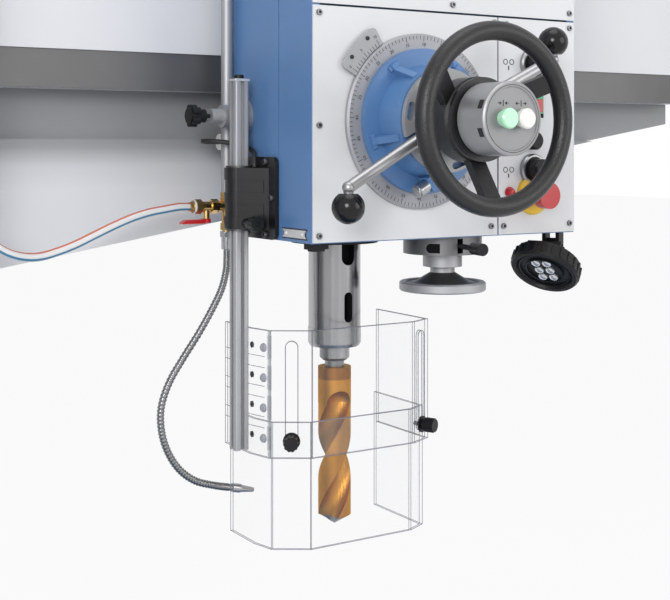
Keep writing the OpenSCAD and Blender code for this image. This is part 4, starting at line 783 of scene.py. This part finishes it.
# The plate's corners are (radius, angle)
VERNIER_OUTLINE = ([(VERNIER_INNER_R, a) for a in arc(121.5, 2.46, 13)] + [(151, 151), (154.5, 149.8)]
                   + [(VERNIER_OUTER_R, a) for a in arc(148, -2.36, 10)]
                   + [(VERNIER_OUTER_R, 124.5), (154.5, 122.7), (151, 121.5)])
VERNIER_MARKS = arc(124.5, 2.4, 11)
VERNIER_MARK_R, VERNIER_SHORT_R, VERNIER_LONG_R = 128.2, 134, 137.5
VERNIER_FIGURE_R, VERNIER_FIGURE = 142, 6.0
VERNIER_STEM_R, VERNIER_STEM_AT = 8, (140, 136)
VERNIER_SCREW_R, VERNIER_SCREWS = 148, (129, 143.5)
VERNIER_SCREW = [(3.0, 0), (2.8, 1.6), (1.4, 2.0)]


def add_vernier():
    plate, marks, screws = Shape(), Shape(), Shape()
    plate.plate([on_feed(r, a, VERNIER_FRONT) for r, a in VERNIER_OUTLINE], Y * VERNIER_T * MM)
    plate.turned(on_feed(*VERNIER_STEM_AT, 0), FRONT,
                 [(VERNIER_STEM_R, 0), (VERNIER_STEM_R, VERNIER_FRONT - VERNIER_T)], sides=24)
    for i, angle in enumerate(VERNIER_MARKS):
        major = i % LONG_EVERY == 0
        tick(marks, VERNIER_MARK_R, VERNIER_LONG_R if major else VERNIER_SHORT_R, angle, VERNIER_FRONT)
        if major:
            number = len(VERNIER_MARKS) - 1 - i
            feed_figure(marks, number, VERNIER_FIGURE_R, angle, VERNIER_FRONT, VERNIER_FIGURE)
    for angle in VERNIER_SCREWS:
        screws.turned(on_feed(VERNIER_SCREW_R, angle, VERNIER_FRONT), FRONT, VERNIER_SCREW, sides=20)
    plate.object("vernier_plate", VERNIER_STEEL, "head", "bright_steel", bevel=0.5)
    marks.object("vernier_marks", INK, "head", "black_plastic")
    screws.object("vernier_screws", INK, "head", "black_plastic")


DIAL_DIVISIONS = 120
DIAL_START = 58
# Distances inwards from the dial's rim
DIAL_MARK_IN, DIAL_SHORT_IN, DIAL_LONG_IN, DIAL_FIGURE_IN = 3.2, 8.2, 10.8, 15.5
DIAL_FIGURE = 7.0


def add_dial_marks():
    marks = Shape()
    low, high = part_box("depth_dial")
    face = (FEED.y - low.y) / MM
    outer = (high.x - low.x) / 2 / MM
    for i in range(DIAL_DIVISIONS):
        angle = DIAL_START + i * 360 / DIAL_DIVISIONS
        major = i % LONG_EVERY == 0
        tick(marks, outer - (DIAL_LONG_IN if major else DIAL_SHORT_IN), outer - DIAL_MARK_IN, angle, face)
        if major:
            feed_figure(marks, i, outer - DIAL_FIGURE_IN, angle, face, DIAL_FIGURE)
    marks.object("dial_marks", INK, "dial", "black_plastic")


# Plates, lamp and controls on the head

PLATE_LONG, PLATE_HIGH, PLATE_NOTCH, PLATE_T = 70.0, 15.0, 4.5, 1.0
PLATE_Y, PLATE_Z = 12.0, 4.5
NOTCH_LOW, NOTCH_HIGH = 0.3, 0.7
FACE_LONG, FACE_HIGH, FACE_RAISED, FACE_T = 0.94, 0.76, 0.3, 0.4
RIVET_IN, RIVET = 13, [(2.6, 0), (2.2, 1.2), (0.8, 1.8)]
SIGNAL_AT = (347, 0, 65)
SIGNAL_LAMP = [(8, 0), (8, 3), (6.2, 3), (6.2, 6), (5, 9), (2.5, 10.5)]


def add_plate_and_lamps():
    """A blank rating plate with a dark border and notched ends, and the red signal lamp."""
    plate, border, rivets = Shape(), Shape(), Shape()
    low, high = PLATE_HIGH * NOTCH_LOW, PLATE_HIGH * NOTCH_HIGH
    outline = [(0, 0), (PLATE_LONG, 0), (PLATE_LONG - PLATE_NOTCH, low), (PLATE_LONG - PLATE_NOTCH, high),
               (PLATE_LONG, PLATE_HIGH), (0, PLATE_HIGH), (PLATE_NOTCH, high), (PLATE_NOTCH, low)]
    border.plate([on_head(-PLATE_T, PLATE_Y + y, PLATE_Z + z) for y, z in outline], X * PLATE_T * MM)
    mid_y, mid_z = PLATE_LONG / 2, PLATE_HIGH / 2
    inner = [(mid_y + (y - mid_y) * FACE_LONG, mid_z + (z - mid_z) * FACE_HIGH) for y, z in outline]
    face = [on_head(-PLATE_T - FACE_RAISED, PLATE_Y + y, PLATE_Z + z) for y, z in inner]
    plate.plate(face, X * FACE_T * MM)
    for y in (RIVET_IN, PLATE_LONG - RIVET_IN):
        rivets.turned(on_head(-PLATE_T, PLATE_Y + y, PLATE_Z + mid_z), -X, RIVET, sides=20)
    border.object("plate_border", INK, "head", "black_plastic", bevel=0.3)
    plate.object("blank_plate", PALE_SILVER, "head", "aluminium")
    rivets.object("plate_rivets", looks["white_plastic"], "head", "white_plastic")
    lamp = Shape().turned(on_head(*SIGNAL_AT), FRONT, SIGNAL_LAMP, sides=32)
    lamp.object("signal_lamp", looks["red_plastic"], "head", "red_plastic")


CONTROL_X = 392.0
SELECTOR_Z, ROCKER_Z, CAP_Z, STOP_Z = (260, 99), 208, 143, 60
SELECTOR_RING = [(19.6, 0), (24, 0), (24, 5), (22, 7.5), (19.6, 7.5)]
ROUND_CAP = [(14, 0), (14, 10), (12, 13), (7, 13)]
STOP_RING = [(30, 0), (30, 5), (28, 7), (13, 9)]
FRAME_X, FRAME_Z, FRAME_BAR, FRAME_DEEP = 16, 30, 4, 9
SYMBOL_X, SYMBOL_Z, SYMBOL_APART, SYMBOL_RAISED = 346, (262, 99), 6, 0.4
SYMBOL_RING = band(3.4, 4.4, 0, SYMBOL_RAISED)
SYMBOL_BAR = ((-1, 0, -12), (1, SYMBOL_RAISED, -6))
KEY_Y, KEY_Z, KEY_BLOCK = -14, 196, ((-9.5, -1, -10), (9.5, 1.2, 10))


def add_panel_trim():
    """Rings round the selectors and the stop button, the rocker's frame and red key, a round cap, symbols."""
    rings, rocker, marks = Shape(), Shape(), Shape()
    for z in SELECTOR_Z:
        rings.ring(on_head(CONTROL_X, 0, z), FRONT, SELECTOR_RING)
    in_x, in_z = FRAME_X - FRAME_BAR, FRAME_Z - FRAME_BAR
    for x0, x1, z0, z1 in ((-FRAME_X, -in_x, -FRAME_Z, FRAME_Z), (in_x, FRAME_X, -FRAME_Z, FRAME_Z),
                           (-FRAME_X, FRAME_X, -FRAME_Z, -in_z), (-FRAME_X, FRAME_X, in_z, FRAME_Z)):
        rocker.block(on_head(CONTROL_X, 0, ROCKER_Z), X, FRONT, Z, (x0, 0, z0), (x1, FRAME_DEEP, z1))
    rocker.turned(on_head(CONTROL_X, 0, CAP_Z), FRONT, ROUND_CAP, sides=40)
    stop = Shape().turned(on_head(CONTROL_X, 0, STOP_Z), FRONT, STOP_RING, sides=56)
    for z in SYMBOL_Z:
        for side in (-1, 1):
            marks.ring(on_head(SYMBOL_X + side * SYMBOL_APART, 0, z), FRONT, SYMBOL_RING, sides=24)
        marks.block(on_head(SYMBOL_X, 0, z), X, FRONT, Z, *SYMBOL_BAR)
    rings.object("selector_rings", looks["chrome"], "head", "chrome")
    rocker.object("rocker_frame", looks["black_plastic"], "head", "black_plastic", bevel=0.8)
    stop.object("stop_ring", YELLOW, "head", "red_plastic")
    marks.object("panel_marks", INK, "head", "black_plastic")
    key = Shape().block(on_head(CONTROL_X, KEY_Y, KEY_Z), X, FRONT, Z, *KEY_BLOCK)
    key.object("stop_key", looks["red_plastic"], "rocker", "red_plastic", bevel=0.8)


DRUM_RIM = 2
ARROW_Z, ARROW_RAISED = 20, 0.3
STROKE_X, STROKE_Z = 0.6, 4
SHAFT_NEAR, SHAFT_FAR, SHAFT_HALF = 3, 9, 0.5
# Each arrow pair is (middle, tip, root of the head), and its heads are as high as ARROW_HALF on both sides
ARROW_PAIRS = ((-15, 3, 6), (15, 9.5, 6.5))
ARROW_HALF = 2.4
DRUM_LINE_IN, DRUM_LINE_OUT, DRUM_LINE_RAISED, DRUM_LINE_SUNK = 5.2, 4.4, 0.15, 2.2
DRUM_SLOT_ANGLES, DRUM_SLOT_BACK = (158, 202), 8
DRUM_SLOT_SHADE = ((-2, -4.5, -6), (0.25, 4.5, 6))


def add_drum_marks():
    """Arrow pairs over the two buttons, inwards to clamp and outwards to release, a ring, and black blocks of
    painted shade in two slots.
    """
    marks = Shape()
    low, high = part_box("button_drum")
    radius = (high.x - low.x) / 2 / MM
    front = (FEED.y - low.y) / MM
    face = front - DRUM_RIM
    for middle, tip, root in ARROW_PAIRS:
        at = FEED + Vector((middle, -face, ARROW_Z)) * MM
        marks.block(at, X, FRONT, Z, (-STROKE_X, -MARK_SUNK, -STROKE_Z), (STROKE_X, ARROW_RAISED, STROKE_Z))
        for side in (-1, 1):
            x0, x1 = sorted((side * SHAFT_NEAR, side * SHAFT_FAR))
            marks.block(at, X, FRONT, Z, (x0, -MARK_SUNK, -SHAFT_HALF), (x1, ARROW_RAISED, SHAFT_HALF))
            corners = ((tip, 0), (root, ARROW_HALF), (root, -ARROW_HALF))
            marks.plate([at + Vector((side * x, -ARROW_RAISED, z)) * MM for x, z in corners],
                        Y * (ARROW_RAISED + MARK_SUNK) * MM)
    line = band(radius - DRUM_LINE_IN, radius - DRUM_LINE_OUT, -DRUM_LINE_SUNK, DRUM_LINE_RAISED)
    marks.ring(FEED + FRONT * front * MM, FRONT, line, sides=72)
    # Black blocks where the drum's two slots are: painted shade
    for angle in DRUM_SLOT_ANGLES:
        out = feed_out(angle)
        marks.block(on_feed(radius, angle, face - DRUM_SLOT_BACK), out, FRONT, out.cross(FRONT), *DRUM_SLOT_SHADE)
    marks.object("drum_marks_and_slot_shade", INK, "head", "black_plastic")


SEAL_AT, SEAL = (-66, 232, 44), band(8.5, 10.2, 0, 3)
SLEEVE_AT = (-12, 232, 0)
SLEEVE_NUT, SLEEVE_BODY = [(10.6, -6), (10.6, 3)], [(8.6, 2), (8.6, 20.5), (7.8, 22)]


def add_coolant_trim():
    """The white seal behind the valve's nut and the steel sleeve over the gooseneck's upper end."""
    seal = Shape().ring(on_head(*SEAL_AT), -X, SEAL)
    seal.object("valve_seal", looks["white_plastic"], "head", "white_plastic")
    sleeve = Shape()
    sleeve.turned(on_head(*SLEEVE_AT), -Z, SLEEVE_NUT, sides=6)
    sleeve.turned(on_head(*SLEEVE_AT), -Z, SLEEVE_BODY, sides=32)
    sleeve.object("gooseneck_sleeve", looks["bright_steel"], "head", "bright_steel", bevel=0.4)


# Guard trim

POST = (-27.0, 163.5)
POST_CAP = ((-12, -12, 0), (12, 12, 4))
POST_CAP_SCREW = [(7, 4), (7, 9), (6, 10), (3, 10), (3, 7)]
SHEET_T = 4.0
SHIELD_SCREW_Z = (-156, -199.5, -243, -287)
WALL_SLOT_Z = (-169, -185, -212, -228, -256, -272)
SHIELD_NUT, NUT_BACK = [(5, 0), (5, 1.6), (4.4, 2.2)], 3
SHIELD_CUP, CUP_BACK = [(6.5, 0.1), (6.2, 2), (4.2, 4.2), (1.5, 4.6)], 11.5
STRIP_NEAR, STRIP_FAR, STRIP_END, STRIP_T = 1, 8, 1, 1.6
PAD_FAR, PAD_HALF, PAD_T = 9, 17, 2
LINE_START, LINE_STOP, LINE_Z, LINE_T = 2, 10, 0.5, 0.3
# How far from the wall's rear end its three outer corners are looked for
WALL_REACHES = ((0, 1), (50, 95), (100, 130))


def wall_corners(mesh):
    """The left wall's outer corners in plan: its rear end, the turn before the post and the front bend."""
    corners = {(v.co.x, v.co.y) for v in mesh.vertices}
    rear_y = max(y for _, y in corners)
    found = [min(c for c in corners if rear_y - far * MM <= c[1] <= rear_y - near * MM)
             for near, far in WALL_REACHES]
    return [Vector((x, y, 0)) for x, y in found]


def add_guard_trim():
    """The post's cap, and the nuts, cup screws, strip and slot lines on the upper shield's left wall."""
    top = on_head(*POST, 0)
    top.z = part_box("guard_post")[1].z
    cap = Shape().block(top, X, Y, Z, *POST_CAP)
    screw = Shape().turned(top, Z, POST_CAP_SCREW, sides=24)
    cap.object("post_cap", PALE_SILVER, "guard_post", "aluminium", bevel=0.8)
    screw.object("post_cap_screw", looks["black_plastic"], "guard_post", "black_plastic")
    low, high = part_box("upper_shield")
    rear, turn, bend = wall_corners(nodes["upper_shield"].data)
    along = (bend - turn).normalized()
    out = along.cross(Z)
    nuts, cups, strip, lines = Shape(), Shape(), Shape(), Shape()
    for z in SHIELD_SCREW_Z:
        height = Z * on_head(0, 0, z).z
        nuts.turned(turn + Y * NUT_BACK * MM + X * SHEET_T * MM + height, X, SHIELD_NUT, sides=6)
        cups.turned(bend - along * CUP_BACK * MM + height, out, SHIELD_CUP, sides=24)
        strip.block(bend + height, along, Z, out, (-PAD_FAR, -PAD_HALF, -SHEET_T - PAD_T),
                    (-STRIP_NEAR, PAD_HALF, -SHEET_T))
    strip.block(bend + Z * low.z, along, Z, out, (-STRIP_FAR, STRIP_END, -SHEET_T - STRIP_T),
                (-STRIP_NEAR, (high.z - low.z) / MM - STRIP_END, -SHEET_T))
    for start, end, stop in ((rear, turn, 0), (turn, bend, LINE_STOP)):
        run = (end - start).normalized()
        length = (end - start).length / MM - stop
        for z in WALL_SLOT_Z:
            lines.block(start + Z * on_head(0, 0, z).z, run, Z, run.cross(Z),
                        (LINE_START, -LINE_Z, -LINE_T), (length, LINE_Z, LINE_T))
    nuts.object("shield_nuts", looks["dark_steel"], "guard_post", "dark_steel")
    cups.object("shield_screws", CLEAR_CUP, "guard_post", "clear_sheet")
    strip.object("shield_strip", CLEAR_EDGE, "guard_post", "clear_sheet")
    lines.object("shield_wall_lines", EDGE_LINE, "guard_post", "clear_sheet")


SHARP_DEGREES = 15
EDGE_LINE_R = 0.55


def add_edge_lines():
    """Thin lines along the edges and bends of the clear sheets, which catch the light there."""
    for node, body in (("upper_shield", "guard_post"), ("lower_shield", "lower_guard")):
        mesh = nodes[node].data
        corner = [tuple(round(c, 5) for c in v.co) for v in mesh.vertices]
        faces = {}
        for face in mesh.polygons:
            for a, b in face.edge_keys:
                faces.setdefault(tuple(sorted((corner[a], corner[b]))), []).append(face.normal)
        lines = Shape()
        for (a, b), normals in faces.items():
            if len(normals) == 2 and normals[0].angle(normals[1]) > math.radians(SHARP_DEGREES):
                along = Vector(b) - Vector(a)
                lines.turned(a, along, [(EDGE_LINE_R, 0), (EDGE_LINE_R, along.length / MM)], sides=6)
        lines.object(node + "_lines", EDGE_LINE, body, "clear_sheet")


# Work lamp

LAMP_AT, LAMP_TILT, LAMP_YAW = (425, 10, -62), 40, 25
LAMP_RING_RADII, LAMP_RING_WIDE, LAMP_RING_LOW, LAMP_RING_HIGH = (41, 30), 2, 3, 6.2
LENS_X, LENS_Y = (-18, 0, 18), (-9, 9)
LENS_CUP = [(7.5, -6.1), (7.2, -4), (5.5, -2.2), (2.5, -1.4)]
GRIP_COUNT, GRIP_R = 24, 51.5
GRIP_BLOCK = ((0, -2.2, 5), (3.4, 2.2, 22))


def add_lamp_trim():
    """Rings and six lenses on the lamp's face, and the grip round its rim."""
    turn = Matrix.Rotation(math.radians(LAMP_YAW), 3, "Z") @ Matrix.Rotation(math.radians(LAMP_TILT), 3, "Y")
    back, side, up = turn @ Z, turn @ X, turn @ Y
    at = on_head(*LAMP_AT)
    rings, lenses, bumps = Shape(), Shape(), Shape()
    for radius in LAMP_RING_RADII:
        rings.ring(at, back, band(radius - LAMP_RING_WIDE, radius, LAMP_RING_LOW, LAMP_RING_HIGH))
    for x in LENS_X:
        for y in LENS_Y:
            lenses.turned(at + (side * x + up * y) * MM, -back, LENS_CUP, sides=28)
    for k in range(GRIP_COUNT):
        a = 2 * math.pi * k / GRIP_COUNT
        out = side * math.cos(a) + up * math.sin(a)
        bumps.block(at + out * GRIP_R * MM, out, back.cross(out), back, *GRIP_BLOCK)
    rings.object("lamp_rings", looks["black_gloss"], "lamp", "black_gloss")
    lenses.object("lamp_lenses", LENS, "lamp", "chrome")
    bumps.object("lamp_grip", looks["black_plastic"], "lamp", "black_plastic", bevel=0.8)


# Column and cabinet trim, outside the photo

BOLT_COUNT, BOLT_CIRCLE, BOLT_START = 8, 187, 22.5
BOLT_HEAD, BOLT_SUNK = [(15, 0), (15, 10), (13, 12)], 0.3
HINGE_SHARES, HINGE_IN, HINGE = (0.25, 0.75), 20, ((0, -1, -14), (10, 5, 14))
LOCK_IN, LOCK_SUNK, LOCK = 30, 1, [(11, 0), (11, 4), (8, 6)]


def add_machine_trim():
    """Bolts on the column's flange, and hinges and a lock on the cabinet's door."""
    bolts, door = Shape(), Shape()
    flange_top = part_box("column_sleeve")[0].z - BOLT_SUNK * MM
    for k in range(BOLT_COUNT):
        a = math.radians(BOLT_START + k * 360 / BOLT_COUNT)
        at = Vector((math.cos(a), math.sin(a), 0)) * BOLT_CIRCLE * MM + Z * flange_top
        bolts.turned(at, Z, BOLT_HEAD, sides=6)
    bolts.object("column_bolts", looks["dark_steel"], "base", "dark_steel", bevel=0.8)
    low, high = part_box("control_cabinet")
    for share in HINGE_SHARES:
        at = Vector((low.x + HINGE_IN * MM, high.y, low.z + share * (high.z - low.z)))
        door.block(at, X, Y, Z, *HINGE)
    at = Vector((high.x - LOCK_IN * MM, high.y - LOCK_SUNK * MM, (low.z + high.z) / 2))
    door.turned(at, Y, LOCK, sides=28)
    door.object("cabinet_fittings", looks["dark_steel"], "arm", "dark_steel", bevel=0.8)


# Stage

FLOOR_WHITE, FLOOR_PATCH, FLOOR_HALF_METRES = 0.9, 2, 24
FLOOR_DARK, FLOOR_LIGHT = (0.78, 0.78, 0.79), (0.82, 0.82, 0.83)
WHITE = (1, 1, 1, 1)
AMBIENT_COLOUR, AMBIENT_STRENGTH = (0.96, 0.98, 1.0, 1), 0.55
# Each lamp is (place in metres, size in metres, power in watts)
LIGHTS = {"key": ((-1.9, -3.0, 2.3), 1.6, 80), "fill": ((2.6, -2.8, 1.9), 2.0, 24),
          "top": ((0.8, -0.6, 4.2), 2.2, 26)}
LIT_PLACE = on_head(200, 100, 100)


def seen_rays(tree):
    """1 for rays that show a surface, in a mirror or through a clear sheet too, and 0 for the rest."""
    path = tree.nodes.new("ShaderNodeLightPath")
    seen = path.outputs["Is Camera Ray"]
    for ray in ("Is Glossy Ray", "Is Transmission Ray"):
        both = tree.nodes.new("ShaderNodeMath")
        both.operation = "MAXIMUM"
        tree.links.new(seen, both.inputs[0])
        tree.links.new(path.outputs[ray], both.inputs[1])
        seen = both.outputs[0]
    return seen


def pale_floor():
    """A floor that shows near white and still takes the machine's shadow."""
    n = Nodes("pale_floor")
    n.link(n.tint(n.noise(FLOOR_PATCH), FLOOR_DARK, FLOOR_LIGHT), "Base Color")
    n.set(Roughness=0.7)
    glow = n.add("ShaderNodeEmission", {"Color": WHITE, "Strength": 1.0})
    share = n.add("ShaderNodeMath", {0: seen_rays(n.tree), 1: FLOOR_WHITE}, operation="MULTIPLY")
    mix = n.add("ShaderNodeMixShader", {0: share.outputs[0], 1: n.shader.outputs[0], 2: glow.outputs[0]})
    n.tree.links.new(mix.outputs[0], n.tree.nodes["Material Output"].inputs["Surface"])
    return n.material


def add_stage():
    mesh = bpy.data.meshes.new("floor")
    half = FLOOR_HALF_METRES
    corners = [(-half, -half, 0), (half, -half, 0), (half, half, 0), (-half, half, 0)]
    mesh.from_pydata(corners, [], [(0, 1, 2, 3)])
    floor = bpy.data.objects.new("floor", mesh)
    floor.data.materials.append(pale_floor())
    bpy.context.scene.collection.objects.link(floor)


def add_world():
    """Soft pale light from all round, behind which the background shows white."""
    world = bpy.data.worlds.new("studio")
    bpy.context.scene.world = world
    world.use_nodes = True
    tree = world.node_tree
    tree.nodes.clear()
    mix = tree.nodes.new("ShaderNodeMixShader")
    tree.links.new(seen_rays(tree), mix.inputs[0])
    for socket, colour, strength in ((1, AMBIENT_COLOUR, AMBIENT_STRENGTH), (2, WHITE, 1.0)):
        light = tree.nodes.new("ShaderNodeBackground")
        light.inputs["Color"].default_value = colour
        light.inputs["Strength"].default_value = strength
        tree.links.new(light.outputs[0], mix.inputs[socket])
    out = tree.nodes.new("ShaderNodeOutputWorld")
    tree.links.new(mix.outputs[0], out.inputs["Surface"])


def add_lights():
    for name, (at, size, power) in LIGHTS.items():
        data = bpy.data.lights.new(name, "AREA")
        data.shape = "DISK"
        data.size = size
        data.energy = power
        light = bpy.data.objects.new(name, data)
        light.location = at
        light.rotation_euler = (LIT_PLACE - Vector(at)).to_track_quat("-Z", "Y").to_euler()
        bpy.context.scene.collection.objects.link(light)


add_camera()
add_gooseneck()
add_supply_hose()
add_switch_cable()
dress_nodes()
add_screws()
add_vernier()
add_dial_marks()
add_plate_and_lamps()
add_panel_trim()
add_drum_marks()
add_bracket_screws()
add_coolant_trim()
add_guard_trim()
add_edge_lines()
add_lamp_trim()
add_machine_trim()
add_stage()
add_world()
add_lights()
bpy.context.scene.view_settings.view_transform = "Standard"
